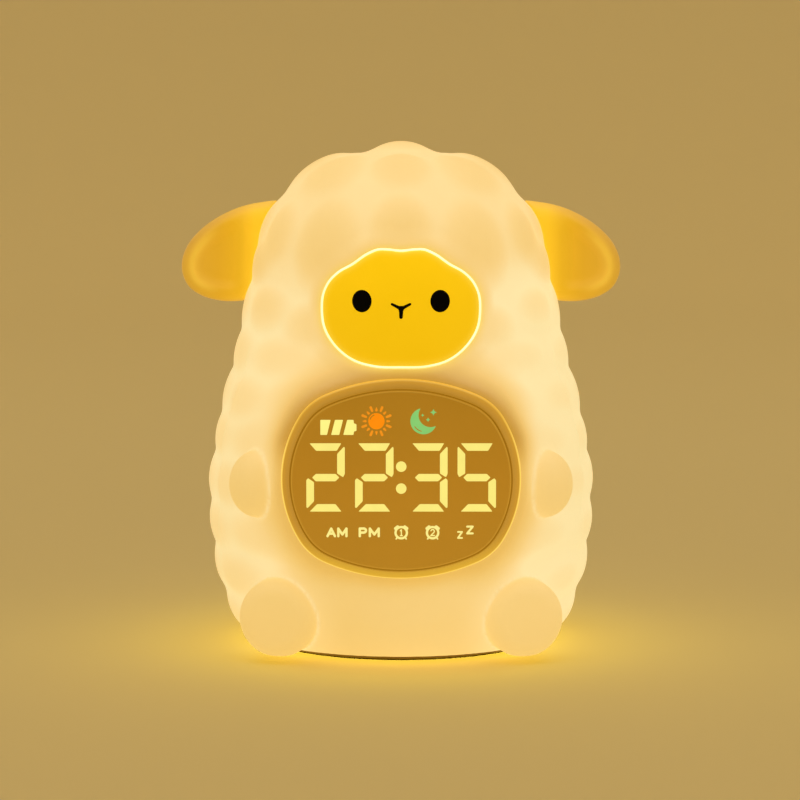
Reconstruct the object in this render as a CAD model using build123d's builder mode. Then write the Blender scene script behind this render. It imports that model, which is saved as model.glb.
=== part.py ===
from build123d import *
import math
import os

os.makedirs("parts", exist_ok=True)

# Kids alarm clock with a night light, shaped as a sitting woolly sheep.
# Millimetres.  +Z is up, the clock's front faces -Y, +X is the viewer's right.
# The origin is the middle of the footprint, on the surface the clock stands on.

# ---------------------------------------------------------------- dimensions
front_flat = -53.7  # the belly is flattened here to carry the display
rear_flat = 54.4  # and here, at the back, for the control panel
body_stations = [  # half width and height of the woolly body, bottom to crown
    (47.6, 1.8),
    (51.5, 7.8),
    (55.0, 16.5),
    (57.2, 28.0),
    (58.5, 42.0),
    (57.6, 54.5),
    (55.7, 66.5),
    (52.8, 78.0),
    (50.2, 89.0),
    (47.7, 100.0),
    (45.6, 111.0),
    (43.1, 121.5),
    (39.0, 130.8),
    (32.4, 139.2),
    (22.6, 145.6),
    (11.2, 149.1),
    (0.0, 150.0),
]
skin_wall = 2.5  # silicone wool skin
dome_gap = 0.3  # skin to the inner dome
dome_wall = 1.6  # translucent inner dome

# display
display_z = 54.9
bezel_half = (34.2, 28.6)  # visible outline of the bezel, half width and half height
window_half = (31.0, 26.0)
bezel_front = -56.5
bezel_back = front_flat  # back of the bezel's flange, where it laps the skin
window_front = -56.1
window_thick = 1.5
reflector_depth = 6.0
tube_half = (32.6, 27.0)
bore_half = (30.2, 25.2)
tube_end = -40.1
neck_end = -39.4
neck_front = -50.9
cover_thick = 2.0
display_screw_xz = [(sx * 21.0, display_z + sz * 17.0) for sx in (-1, 1) for sz in (-1, 1)]

# time digits on the display, relative to its centre
digit_x = (-21.45, -7.55, 7.9, 21.8)
digit_size = (10.9, 19.5)
digit_mid_z = 0.6
stroke = 2.0

# face
face_z = 100.5
face_half_outline = [  # half of the face plate's outline, crown of the face to the chin
    (0.0, 19.6),
    (3.8, 20.0),
    (6.3, 20.0),
    (9.4, 18.7),
    (13.7, 15.6),
    (17.7, 13.2),
    (20.4, 10.4),
    (22.1, 6.6),
    (22.45, 2.2),
    (21.7, -3.0),
    (18.4, -8.4),
    (13.2, -12.3),
    (7.8, -13.8),
    (0.0, -14.1),
]
face_step = 1.2  # the face stands this far in front of the wool
face_plate_thick = 2.0

# ears
ear_outline = [  # right ear, seen from the front; the root is hidden in the body
    (36.0, 131.9),
    (42.0, 131.6),
    (48.7, 130.1),
    (53.2, 128.2),
    (57.6, 125.6),
    (61.4, 122.4),
    (64.3, 118.8),
    (66.0, 114.6),
    (66.0, 110.2),
    (64.2, 106.3),
    (60.6, 103.6),
    (55.4, 102.0),
    (50.0, 101.7),
    (45.0, 102.3),
    (36.0, 105.0),
]
ear_y = 2.0
ear_thick = 10.0
ear_neck = (11.0, 6.0)  # neck through the skin and the dome, Z by Y
ear_neck_z = 116.0

# limbs
arm_centre = (43.0, -42.3, 51.7)
arm_radii = (6.5, 8.4, 9.7)
foot_centre = (34.4, -41.0, 13.2)
foot_radius = 11.5
foot_yaw = 14.0
foot_reach = 10.0
foot_round = 5.0

# base
ring_outer = 42.0
ring_inner = 38.6
ring_thick = 1.5
tray_bottom = 1.0
tray_plate = 2.0
tray_rim_top = 3.6
tray_radius = 45.3
lip_top = 5.6
lip_radius = 41.5
dome_flange_radius = 38.0
dome_flange_top = 7.2
dome_boss_xy = [(sx * 26.0, sy * 24.0) for sx in (-1, 1) for sy in (-1, 1)]
dome_boss_top = 16.0
tray_post_xy = [(35.0, 0.0), (-35.0, 0.0), (0.0, 33.0), (0.0, -33.0)]
light_tray_z = 17.0
light_tray_thick = 1.8
light_tray_radius = 36.8
lamp_board_radius = 23.0
lamp_board_thick = 1.6
lamp_board_gap = 0.6
speaker_xy = (18.0, 0.0)
speaker_radius = 14.0
battery_xy = (-17.0, 0.0)
battery_size = (29.6, 40.0, 8.0)
wire_hole_xy = [(-12.5, 26.5), (12.5, 26.5)]

# rear control panel
panel_z = 50.0
panel_half = (24.0, 21.0)
panel_face = 55.6
panel_flange_back = rear_flat
panel_plate_back = 53.6
panel_tube_half = (22.8, 19.8)
panel_bore_half = (21.2, 18.2)
panel_tube_end = 45.4
pcb_half = (21.0, 18.0)
pcb_face = 47.4
pcb_thick = 1.6
panel_boss_xz = [(16.8, panel_z + 5.0), (-16.8, panel_z + 5.0), (15.2, panel_z - 9.5), (-15.2, panel_z - 9.5)]
button_radius = 3.0
button_gap = 0.3
button_top = 56.5
button_travel = 0.5
button_places = {
    "light": (-10.0, panel_z + 10.0),
    "sound": (0.0, panel_z + 10.0),
    "alarm": (10.0, panel_z + 10.0),
    "plus": (-10.0, panel_z + 0.0),
    "set": (0.0, panel_z + 0.0),
    "minus": (10.0, panel_z + 0.0),
}
switch_x = 7.0
switch_z = panel_z - 10.5
switch_travel = 2.5
usb_x = -7.0
usb_z = panel_z - 10.5


# ---------------------------------------------------------------- helpers
def xz(y):
    """A plane at depth y that faces the front; extruding moves towards -Y."""
    return Plane.XZ.offset(-y)


def oval(half, centre_z):
    """Eight tangent arcs of the soft-cornered oval shared by the display and the rear panel."""
    a, b = half
    px, pz = 0.7536 * a, 0.7536 * b  # where the corner arc is steepest
    nx, nz = b / math.hypot(a, b), a / math.hypot(a, b)
    r = 0.577 * b
    cx, cz = px - r * nx, pz - r * nz
    side_r = (r * r - (cx - a) ** 2 - cz * cz) / (2 * (cx - a + r))
    top_r = (r * r - (cz - b) ** 2 - cx * cx) / (2 * (cz - b + r))
    # joints between the side, corner and top arcs
    d = math.hypot(cx - (a - side_r), cz)
    jx, jz = (a - side_r) + side_r * (cx - a + side_r) / d, side_r * cz / d
    e = math.hypot(cx, cz - (b - top_r))
    kx, kz = top_r * cx / e, (b - top_r) + top_r * (cz - b + top_r) / e
    points = [
        ((jx, -jz), (a, 0), (jx, jz)),
        ((jx, jz), (px, pz), (kx, kz)),
        ((kx, kz), (0, b), (-kx, kz)),
        ((-kx, kz), (-px, pz), (-jx, jz)),
        ((-jx, jz), (-a, 0), (-jx, -jz)),
        ((-jx, -jz), (-px, -pz), (-kx, -kz)),
        ((-kx, -kz), (0, -b), (kx, -kz)),
        ((kx, -kz), (px, -pz), (jx, -jz)),
    ]
    return [[(x, centre_z + z) for x, z in arc] for arc in points]


def profile(inset):
    """The body's half section, with every station moved inward by inset."""
    points = []
    last = len(body_stations) - 1
    for i, (a, z) in enumerate(body_stations):
        a0, z0 = body_stations[max(i - 1, 0)]
        a1, z1 = body_stations[min(i + 1, last)]
        na, nz = z1 - z0, a0 - a1
        if i == 0:
            na, nz = 1.0, 0.0
        if i == last:
            na, nz = 0.0, 1.0
        length = math.hypot(na, nz)
        points.append((a - inset * na / length, z - inset * nz / length))
    return points


def envelope(inset, forward=0.0, flats=True):
    """The woolly body as one filled solid, inset all over and moved forward."""
    points = profile(inset)
    with BuildPart() as filled:
        turned = math.radians(40)  # keeps the turned surface's seam clear of every opening
        section = Plane(
            (0, -forward, 0),
            x_dir=(math.cos(turned), math.sin(turned), 0),
            z_dir=(math.sin(turned), -math.cos(turned), 0),
        )
        with BuildSketch(section):
            with BuildLine():
                side = Spline(*points, tangents=[(0.7, 1.0), (-1.0, 0.0)], tangent_scalars=[1.1, 1.1])
                Polyline(side @ 1, (0, points[0][1]), side @ 0)
            make_face()
        revolve(axis=Axis((0, -forward, 0), (0, 0, 1)))
        if flats:
            with BuildSketch(Plane.XY):
                with Locations((0, front_flat + inset - 50), (0, rear_flat - inset + 50)):
                    Rectangle(200, 100)
            extrude(amount=160, mode=Mode.SUBTRACT)
    return filled.part


def face_points(grow=0.0):
    right = face_half_outline
    left = [(-x, z) for x, z in reversed(right[1:-1])]
    points = []
    for x, z in right + left:
        r = math.hypot(x, z - 2.5)
        points.append((x * (r + grow) / r, face_z + 2.5 + (z - 2.5) * (r + grow) / r))
    return points


outer_body = envelope(0.0)
skin_inside = envelope(skin_wall)
dome_outside = envelope(skin_wall + dome_gap)
dome_inside = envelope(skin_wall + dome_gap + dome_wall)

# ---------------------------------------------------------------- skin
# Lofted collar that carries the flat display forward out of the round belly.
with BuildPart() as collar:
    for y, grow in ((front_flat, 0.0), (front_flat + 22.0, 12.7)):
        with BuildSketch(xz(y)):
            with BuildLine():
                for arc in oval((35.6 + grow, 30.0 + grow), display_z):
                    ThreePointArc(*arc)
            make_face()
    loft(ruled=True)

with BuildPart() as collar_hollow:
    for y, grow in ((front_flat + 2.4, 0.0), (front_flat + 23.4, 12.1)):
        with BuildSketch(xz(y)):
            with BuildLine():
                for arc in oval((35.0 + grow, 29.4 + grow), display_z):
                    ThreePointArc(*arc)
            make_face()
    loft(ruled=True)

with BuildPart() as rear_collar:
    for y, grow in ((rear_flat - 15.0, 9.0), (rear_flat, 0.0)):
        with BuildSketch(xz(y)):
            with BuildLine():
                for arc in oval((25.2 + grow, 22.2 + grow), panel_z):
                    ThreePointArc(*arc)
            make_face()
    loft(ruled=True)

# The wool stands a little forward round the face.
with BuildPart() as face_pad:
    with BuildSketch(xz(-20.0)):
        with BuildLine():
            Spline(*face_points(3.2), periodic=True)
        make_face()
    extrude(amount=40)
    add(envelope(0.0, face_step, flats=False), mode=Mode.INTERSECT)

with BuildPart() as arm:
    with Locations(arm_centre):
        Sphere(1.0)
    scale(by=arm_radii, about=arm_centre)

foot_plane = Plane(
    (foot_centre[0], foot_centre[1], foot_centre[2]),
    x_dir=(math.cos(math.radians(foot_yaw)), math.sin(math.radians(foot_yaw)), 0),
    z_dir=(math.sin(math.radians(foot_yaw)), -math.cos(math.radians(foot_yaw)), 0),
)
with BuildPart() as foot:
    with BuildSketch(foot_plane.offset(-10)):
        Circle(foot_radius)
    extrude(amount=10 + foot_reach)
    fillet(foot.edges().sort_by(Axis((0, 0, 0), tuple(foot_plane.z_dir)))[-1], foot_round)

with BuildPart() as foot_hollow:
    with BuildSketch(foot_plane.offset(-8)):
        Circle(foot_radius - skin_wall)
    extrude(amount=8 + foot_reach - skin_wall)
    fillet(foot_hollow.edges().sort_by(Axis((0, 0, 0), tuple(foot_plane.z_dir)))[-1], foot_round - skin_wall)

with BuildPart() as skin_hollow:
    add(skin_inside)
    add(collar_hollow.part)
    add(foot_hollow.part)
    add(foot_hollow.part.mirror(Plane.YZ))
    with BuildSketch(Plane.XY.offset(-20)):
        Rectangle(200, 200)
    extrude(amount=20 + lip_top, mode=Mode.SUBTRACT)

with BuildPart() as silicone_skin:
    add(outer_body)
    add(collar.part)
    add(rear_collar.part)
    add(face_pad.part)
    add(arm.part)
    add(arm.part.mirror(Plane.YZ))
    add(foot.part)
    add(foot.part.mirror(Plane.YZ))
    # nothing of the skin reaches below its own bottom edge
    with BuildSketch(Plane.XY.offset(-20)):
        Rectangle(200, 200)
    extrude(amount=20 + body_stations[0][1], mode=Mode.SUBTRACT)
    # the hollow, above the bottom lip
    add(skin_hollow.part, mode=Mode.SUBTRACT)
    # the lip's hole and the seat for the base tray's rim
    with BuildSketch(Plane.XY):
        Circle(lip_radius)
    extrude(amount=lip_top + 0.5, mode=Mode.SUBTRACT)
    with BuildSketch(Plane.XY):
        Circle(tray_radius + 0.2)
    extrude(amount=tray_rim_top, mode=Mode.SUBTRACT)
    # openings for the display, the face, the rear panel and the ears
    with BuildSketch(xz(-30.0)):
        with BuildLine():
            for arc in oval((tube_half[0] + 0.2, tube_half[1] + 0.2), display_z):
                ThreePointArc(*arc)
        make_face()
    extrude(amount=40, mode=Mode.SUBTRACT)
    with BuildSketch(xz(-20.0)):
        with BuildLine():
            Spline(*face_points(0.75), periodic=True)
        make_face()
    extrude(amount=40, mode=Mode.SUBTRACT)
    with BuildSketch(xz(64.0)):
        with BuildLine():
            for arc in oval((panel_tube_half[0] + 0.2, panel_tube_half[1] + 0.2), panel_z):
                ThreePointArc(*arc)
        make_face()
    extrude(amount=30, mode=Mode.SUBTRACT)
    with BuildSketch(Plane.YZ.offset(-70)):
        with Locations((ear_y, ear_neck_z)):
            RectangleRounded(ear_neck[1] + 0.2, ear_neck[0] + 0.2, 2.0)
    extrude(amount=140, mode=Mode.SUBTRACT)
silicone_skin.part.label = "silicone_skin"
export_step(silicone_skin.part, "parts/silicone_skin.step")

# ---------------------------------------------------------------- inner dome
with BuildPart() as display_neck:
    with BuildSketch(xz(neck_end)):
        with BuildLine():
            for arc in oval((tube_half[0] + 2.0, tube_half[1] + 2.0), display_z):
                ThreePointArc(*arc)
        make_face()
    extrude(amount=neck_end - neck_front)

with BuildPart() as panel_neck:
    with BuildSketch(xz(49.0)):
        with BuildLine():
            for arc in oval((panel_tube_half[0] + 1.8, panel_tube_half[1] + 1.8), panel_z):
                ThreePointArc(*arc)
        make_face()
    extrude(amount=49.0 - panel_tube_end)

with BuildPart() as inner_dome:
    add(dome_outside)
    add(dome_inside, mode=Mode.SUBTRACT)
    add(display_neck.part)
    add(panel_neck.part)
    # cut the lower end level with the skin's lip, and add the foot flange
    with BuildSketch(Plane.XY.offset(-20)):
        Rectangle(200, 200)
    extrude(amount=20 + lip_top, mode=Mode.SUBTRACT)
    with BuildSketch(Plane.XY.offset(lip_top)):
        Circle(47.0)
        Circle(dome_flange_radius, mode=Mode.SUBTRACT)
    extrude(amount=dome_flange_top - lip_top)
    # the screw bosses on the flange
    with BuildSketch(Plane.XY.offset(lip_top)):
        with Locations(*dome_boss_xy):
            Circle(3.6)
    extrude(amount=dome_boss_top - lip_top)
    with BuildSketch(Plane.XY.offset(lip_top)):
        with Locations(*dome_boss_xy):
            Circle(1.25)
    extrude(amount=dome_boss_top - lip_top - 2.0, mode=Mode.SUBTRACT)
    # openings
    with BuildSketch(xz(-30.0)):
        with BuildLine():
            for arc in oval((tube_half[0] + 0.2, tube_half[1] + 0.2), display_z):
                ThreePointArc(*arc)
        make_face()
    extrude(amount=40, mode=Mode.SUBTRACT)
    with BuildSketch(xz(64.0)):
        with BuildLine():
            for arc in oval((panel_tube_half[0] + 0.2, panel_tube_half[1] + 0.2), panel_z):
                ThreePointArc(*arc)
        make_face()
    extrude(amount=30, mode=Mode.SUBTRACT)
    with BuildSketch(Plane.YZ.offset(-70)):
        with Locations((ear_y, ear_neck_z)):
            RectangleRounded(ear_neck[1] + 0.2, ear_neck[0] + 0.2, 2.0)
    extrude(amount=140, mode=Mode.SUBTRACT)
    # three holes for the face plate's pins
    with BuildSketch(xz(-20.0)):
        with Locations((-13.0, face_z + 5.0), (13.0, face_z + 5.0), (0.0, face_z - 8.0)):
            Circle(1.7)
    extrude(amount=40, mode=Mode.SUBTRACT)
inner_dome.part.label = "inner_dome"
export_step(inner_dome.part, "parts/inner_dome.step")

# ---------------------------------------------------------------- face
# Pins on the back of the face plate, pushed through the dome.
with BuildPart() as face_pins:
    with BuildSketch(xz(-38.0)):
        with Locations((-13.0, face_z + 5.0), (13.0, face_z + 5.0), (0.0, face_z - 8.0)):
            Circle(1.5)
    extrude(amount=20)
    add(envelope(face_plate_thick - 0.5, face_step, flats=False), mode=Mode.INTERSECT)

with BuildPart() as face_plate:
    with BuildSketch(xz(-20.0)):
        with BuildLine():
            Spline(*face_points(0.0), periodic=True)
        make_face()
    extrude(amount=40)
    add(envelope(0.0, face_step, flats=False), mode=Mode.INTERSECT)
    add(envelope(face_plate_thick, face_step, flats=False), mode=Mode.SUBTRACT)
    add(face_pins.part)
face_plate.part.label = "face_plate"
export_step(face_plate.part, "parts/face_plate.step")

# The clear ring between the face plate and the wool, which shows as a bright line.
with BuildPart() as face_light_ring:
    with BuildSketch(xz(-20.0)):
        with BuildLine():
            Spline(*face_points(0.7), periodic=True)
        make_face()
        with BuildLine():
            Spline(*face_points(0.05), periodic=True)
        make_face(mode=Mode.SUBTRACT)
    extrude(amount=40)
    add(envelope(0.3, face_step, flats=False), mode=Mode.INTERSECT)
    add(dome_outside, mode=Mode.SUBTRACT)
face_light_ring.part.label = "face_light_ring"
export_step(face_light_ring.part, "parts/face_light_ring.step")

# ---------------------------------------------------------------- ears
with BuildPart() as ear_right:
    with BuildSketch(xz(ear_y + ear_thick / 2)):
        with BuildLine():
            edge = Spline(*ear_outline)
            Line(edge @ 1, edge @ 0)
        make_face()
    extrude(amount=ear_thick)
    outline_edges = [
        e for e in ear_right.edges() if e.geom_type == GeomType.BSPLINE and abs(e.bounding_box().size.Y) < 0.01
    ]
    fillet(outline_edges, 4.2)
    add(envelope(-0.05, flats=False), mode=Mode.SUBTRACT)
    # neck through the skin and the dome, and the soft button that holds it inside
    with BuildSketch(Plane.YZ.offset(36.0)):
        with Locations((ear_y, ear_neck_z)):
            RectangleRounded(ear_neck[1], ear_neck[0], 1.9)
    extrude(amount=12.0)
    with BuildSketch(Plane.YZ.offset(34.2)):
        with Locations((ear_y, ear_neck_z)):
            RectangleRounded(ear_neck[1] + 5.0, ear_neck[0] + 5.0, 3.0)
    extrude(amount=1.8)
ear_right.part.label = "ear_right"
export_step(ear_right.part, "parts/ear_right.step")

with BuildPart() as ear_left:
    add(ear_right.part.mirror(Plane.YZ))
ear_left.part.label = "ear_left"
export_step(ear_left.part, "parts/ear_left.step")

# ---------------------------------------------------------------- display
board_back = window_front + window_thick + reflector_depth + 1.2
with BuildPart() as display_bezel:
    # sloped flange that frames the window
    for y, grow in ((bezel_back - 0.9, 0.0), (bezel_front, -2.4)):
        with BuildSketch(xz(y)):
            with BuildLine():
                for arc in oval((bezel_half[0] + grow, bezel_half[1] + grow), display_z):
                    ThreePointArc(*arc)
            make_face()
    loft(ruled=True)
    with BuildSketch(xz(bezel_back)):
        with BuildLine():
            for arc in oval(bezel_half, display_z):
                ThreePointArc(*arc)
        make_face()
    extrude(amount=0.9)
    with BuildSketch(xz(tube_end)):
        with BuildLine():
            for arc in oval(tube_half, display_z):
                ThreePointArc(*arc)
        make_face()
    extrude(amount=tube_end - bezel_back)
    # bore from the front: window seat, then reflector and board
    with BuildSketch(xz(window_front + window_thick)):
        with BuildLine():
            for arc in oval((window_half[0] + 0.15, window_half[1] + 0.15), display_z):
                ThreePointArc(*arc)
        make_face()
    extrude(amount=6, mode=Mode.SUBTRACT)
    with BuildSketch(xz(-30.0)):
        with BuildLine():
            for arc in oval(bore_half, display_z):
                ThreePointArc(*arc)
        make_face()
    extrude(amount=30, mode=Mode.SUBTRACT)
    # screw pillars behind the board
    with BuildSketch(xz(tube_end)):
        with Locations(*display_screw_xz):
            Circle(3.2)
    extrude(amount=tube_end - board_back - 0.05)
    with BuildSketch(xz(tube_end)):
        with Locations(*display_screw_xz):
            Circle(1.0)
    extrude(amount=5.0, mode=Mode.SUBTRACT)
display_bezel.part.label = "display_bezel"
export_step(display_bezel.part, "parts/display_bezel.step")

with BuildPart() as display_window:
    with BuildSketch(xz(window_front + window_thick)):
        with BuildLine():
            for arc in oval(window_half, display_z):
                ThreePointArc(*arc)
        make_face()
    extrude(amount=window_thick)
    chamfer(display_window.edges().group_by(Axis.Y)[0], 0.25)
display_window.part.label = "display_window"
export_step(display_window.part, "parts/display_window.step")


def segment_outlines(cx, cz):
    """The seven bars of one digit, as closed point lists."""
    w, h = digit_size
    x0, x1 = cx - w / 2, cx + w / 2
    z0, z1 = cz - h / 2, cz + h / 2
    g = 0.12
    s = stroke
    bars = []
    bars.append([(x0 + g, z1), (x1 - g, z1), (x1 - s - g, z1 - s), (x0 + s + g, z1 - s)])
    bars.append([(x0 + g, z0), (x0 + s + g, z0 + s), (x1 - s - g, z0 + s), (x1 - g, z0)])
    m = s / 2
    bars.append(
        [
            (x0 + m + g, cz),
            (x0 + s + g, cz + m),
            (x1 - s - g, cz + m),
            (x1 - m - g, cz),
            (x1 - s - g, cz - m),
            (x0 + s + g, cz - m),
        ]
    )
    for sx, xe in ((1, x0), (-1, x1)):
        bars.append([(xe, z1 - g), (xe, cz + g), (xe + sx * m, cz + g), (xe + sx * s, cz + m + g), (xe + sx * s, z1 - s - g)])
        bars.append([(xe, z0 + g), (xe, cz - g), (xe + sx * m, cz - g), (xe + sx * s, cz - m - g), (xe + sx * s, z0 + s + g)])
    return bars


all_bars = []
for x in digit_x:
    all_bars += segment_outlines(x, display_z + digit_mid_z)
colon_places = [(0.2, display_z + 3.7), (0.2, display_z - 2.6)]
round_icons = [(-6.9, display_z + 16.7, 4.3), (6.3, display_z + 16.6, 4.2), (0.2, display_z - 15.2, 2.2), (9.1, display_z - 15.2, 2.2)]
box_icons = [
    (-17.8, display_z + 15.0, 10.8, 4.6),
    (-18.2, display_z - 15.2, 6.4, 3.2),
    (-9.0, display_z - 15.2, 6.4, 3.2),
    (18.7, display_z - 15.1, 6.0, 4.6),
]
cell_front = window_front + window_thick
cell_back = cell_front + reflector_depth
diffuser_depth = 3.0
cell_gap = 0.04

with BuildPart() as segment_diffusers:
    with BuildSketch(xz(cell_front + diffuser_depth)):
        for bar in all_bars:
            with BuildLine():
                Polyline(*bar, close=True)
            make_face()
        with Locations(*colon_places):
            Circle(1.5)
    extrude(amount=diffuser_depth)
segment_diffusers.part.label = "segment_diffusers"
export_step(segment_diffusers.part, "parts/segment_diffusers.step")

with BuildPart() as icon_diffusers:
    with BuildSketch(xz(cell_front + diffuser_depth)):
        for x, z, r in round_icons:
            with Locations((x, z)):
                Circle(r)
        for x, z, w, h in box_icons:
            with Locations((x, z)):
                Rectangle(w, h)
    extrude(amount=diffuser_depth)
icon_diffusers.part.label = "icon_diffusers"
export_step(icon_diffusers.part, "parts/icon_diffusers.step")

with BuildPart() as display_reflector:
    with BuildSketch(xz(cell_back)):
        with BuildLine():
            for arc in oval((bore_half[0] - 0.2, bore_half[1] - 0.2), display_z):
                ThreePointArc(*arc)
        make_face()
    extrude(amount=reflector_depth)
    # light cells, one for each bar, dot and sign
    with BuildSketch(xz(cell_back)):
        for bar in all_bars:
            with BuildLine():
                Polyline(*bar, close=True)
            make_face()
        with Locations(*colon_places):
            Circle(1.5 + cell_gap)
        for x, z, r in round_icons:
            with Locations((x, z)):
                Circle(r + cell_gap)
        for x, z, w, h in box_icons:
            with Locations((x, z)):
                Rectangle(w, h)
    extrude(amount=reflector_depth, mode=Mode.SUBTRACT)
display_reflector.part.label = "display_reflector"
export_step(display_reflector.part, "parts/display_reflector.step")

with BuildPart() as display_pcb:
    with BuildSketch(xz(board_back)):
        with BuildLine():
            for arc in oval((bore_half[0] - 0.2, bore_half[1] - 0.2), display_z):
                ThreePointArc(*arc)
        make_face()
    extrude(amount=1.2)
display_pcb.part.label = "display_pcb"
export_step(display_pcb.part, "parts/display_pcb.step")

led_places = []
for bar in all_bars:
    led_places.append((sum(p[0] for p in bar) / len(bar), sum(p[1] for p in bar) / len(bar)))
led_places += colon_places
led_places += [(x, z) for x, z, r in round_icons]
led_places += [(x, z) for x, z, w, h in box_icons]
with BuildPart() as display_leds:
    with BuildSketch(xz(cell_back)):
        with Locations(*led_places):
            Rectangle(1.0, 0.8)
    extrude(amount=0.6)
display_leds.part.label = "display_leds"
export_step(display_leds.part, "parts/display_leds.step")

with BuildPart() as display_back_cover:
    with BuildSketch(xz(neck_end + cover_thick)):
        with BuildLine():
            for arc in oval((34.6, 29.0), display_z):
                ThreePointArc(*arc)
        make_face()
        with Locations(*display_screw_xz):
            Circle(1.3, mode=Mode.SUBTRACT)
        with Locations((-12.0, display_z - 15.0)):
            Rectangle(9.4, 5.4, mode=Mode.SUBTRACT)
    extrude(amount=cover_thick)
    chamfer(display_back_cover.faces().sort_by(Axis.Y)[-1].outer_wire().edges(), 0.5)
display_back_cover.part.label = "display_back_cover"
export_step(display_back_cover.part, "parts/display_back_cover.step")

with BuildPart() as display_screws:
    with BuildSketch(xz(neck_end + cover_thick + 1.3)):
        with Locations(*display_screw_xz):
            Circle(2.0)
    extrude(amount=1.3)
    with BuildSketch(xz(neck_end + cover_thick)):
        with Locations(*display_screw_xz):
            Circle(0.98)
    extrude(amount=7.0)
    with BuildSketch(xz(neck_end + cover_thick + 1.3)):
        with Locations(*display_screw_xz):
            Rectangle(2.6, 0.5)
            Rectangle(0.5, 2.6)
    extrude(amount=0.7, mode=Mode.SUBTRACT)
display_screws.part.label = "display_screws"
export_step(display_screws.part, "parts/display_screws.step")

# ---------------------------------------------------------------- base
speaker_hole_xy = [(speaker_xy[0], speaker_xy[1])]
for ring, count in ((3.4, 6), (6.8, 12), (10.2, 18)):
    for i in range(count):
        t = 2 * math.pi * i / count
        speaker_hole_xy.append((speaker_xy[0] + ring * math.cos(t), speaker_xy[1] + ring * math.sin(t)))

with BuildPart() as base_tray:
    with BuildSketch(Plane.XY.offset(tray_bottom)):
        Circle(tray_radius)
    extrude(amount=tray_plate)
    chamfer(base_tray.edges().group_by(Axis.Z)[0], 0.5)
    with BuildSketch(Plane.XY.offset(tray_bottom + tray_plate)):
        Circle(tray_radius)
        Circle(lip_radius - 0.6, mode=Mode.SUBTRACT)
    extrude(amount=tray_rim_top - tray_bottom - tray_plate)
    # seats under the dome's bosses, and posts under the light tray
    with BuildSketch(Plane.XY.offset(tray_bottom + tray_plate)):
        with Locations(*dome_boss_xy):
            Circle(3.6)
    extrude(amount=lip_top - tray_bottom - tray_plate)
    with BuildSketch(Plane.XY.offset(tray_bottom + tray_plate)):
        with Locations(*tray_post_xy):
            Circle(2.6)
    extrude(amount=light_tray_z - tray_bottom - tray_plate)
    # battery bay ribs
    with BuildSketch(Plane.XY.offset(tray_bottom + tray_plate)):
        with Locations(battery_xy):
            Rectangle(battery_size[0] + 3.0 - 0.6, battery_size[1] + 3.4)
            Rectangle(battery_size[0] + 0.4, battery_size[1] + 0.4, mode=Mode.SUBTRACT)
            Rectangle(battery_size[0] + 6, battery_size[1] - 16, mode=Mode.SUBTRACT)
            Rectangle(battery_size[0] - 14, battery_size[1] + 8, mode=Mode.SUBTRACT)
    extrude(amount=2.5)
    # speaker cup
    with BuildSketch(Plane.XY.offset(tray_bottom + tray_plate)):
        with Locations(speaker_xy):
            Circle(speaker_radius + 1.6)
            Circle(speaker_radius + 0.15, mode=Mode.SUBTRACT)
            Rectangle(60, 9, mode=Mode.SUBTRACT)
    extrude(amount=3.0)
    # ring groove underneath, screw holes, pilot holes and the speaker grille
    with BuildSketch(Plane.XY.offset(tray_bottom)):
        Circle(ring_outer + 0.1)
        Circle(ring_inner - 0.1, mode=Mode.SUBTRACT)
    extrude(amount=ring_thick - tray_bottom, mode=Mode.SUBTRACT)
    with BuildSketch(Plane.XY.offset(tray_bottom)):
        with Locations(*dome_boss_xy):
            Circle(1.7)
    extrude(amount=6, mode=Mode.SUBTRACT)
    with BuildSketch(Plane.XY.offset(tray_bottom)):
        with Locations(*dome_boss_xy):
            Circle(2.9)
    extrude(amount=2.4, mode=Mode.SUBTRACT)
    with BuildSketch(Plane.XY.offset(light_tray_z)):
        with Locations(*tray_post_xy):
            Circle(0.9)
    extrude(amount=-7, mode=Mode.SUBTRACT)
    with BuildSketch(Plane.XY.offset(tray_bottom)):
        with Locations(*speaker_hole_xy):
            Circle(0.9)
    extrude(amount=3, mode=Mode.SUBTRACT)
base_tray.part.label = "base_tray"
export_step(base_tray.part, "parts/base_tray.step")

with BuildPart() as anti_slip_ring:
    with BuildSketch(Plane.XY):
        Circle(ring_outer)
        Circle(ring_inner, mode=Mode.SUBTRACT)
    extrude(amount=ring_thick)
    chamfer(anti_slip_ring.edges().group_by(Axis.Z)[0], 0.3)
anti_slip_ring.part.label = "anti_slip_ring"
export_step(anti_slip_ring.part, "parts/anti_slip_ring.step")

with BuildPart() as base_screws:
    with BuildSketch(Plane.XY.offset(tray_bottom + 0.3)):
        with Locations(*dome_boss_xy):
            Circle(2.6)
    extrude(amount=2.1)
    with BuildSketch(Plane.XY.offset(tray_bottom + 2.4)):
        with Locations(*dome_boss_xy):
            Circle(1.22)
    extrude(amount=9.0)
    with BuildSketch(Plane.XY.offset(tray_bottom + 0.3)):
        with Locations(*dome_boss_xy):
            Rectangle(3.2, 0.6)
            Rectangle(0.6, 3.2)
    extrude(amount=1.1, mode=Mode.SUBTRACT)
base_screws.part.label = "base_screws"
export_step(base_screws.part, "parts/base_screws.step")

with BuildPart() as battery_pack:
    with BuildSketch(Plane.XY.offset(tray_bottom + tray_plate)):
        with Locations(battery_xy):
            RectangleRounded(battery_size[0], battery_size[1], 2.0)
    extrude(amount=battery_size[2])
    fillet(battery_pack.edges().group_by(Axis.Z)[-1], 1.5)
battery_pack.part.label = "battery_pack"
export_step(battery_pack.part, "parts/battery_pack.step")

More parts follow.
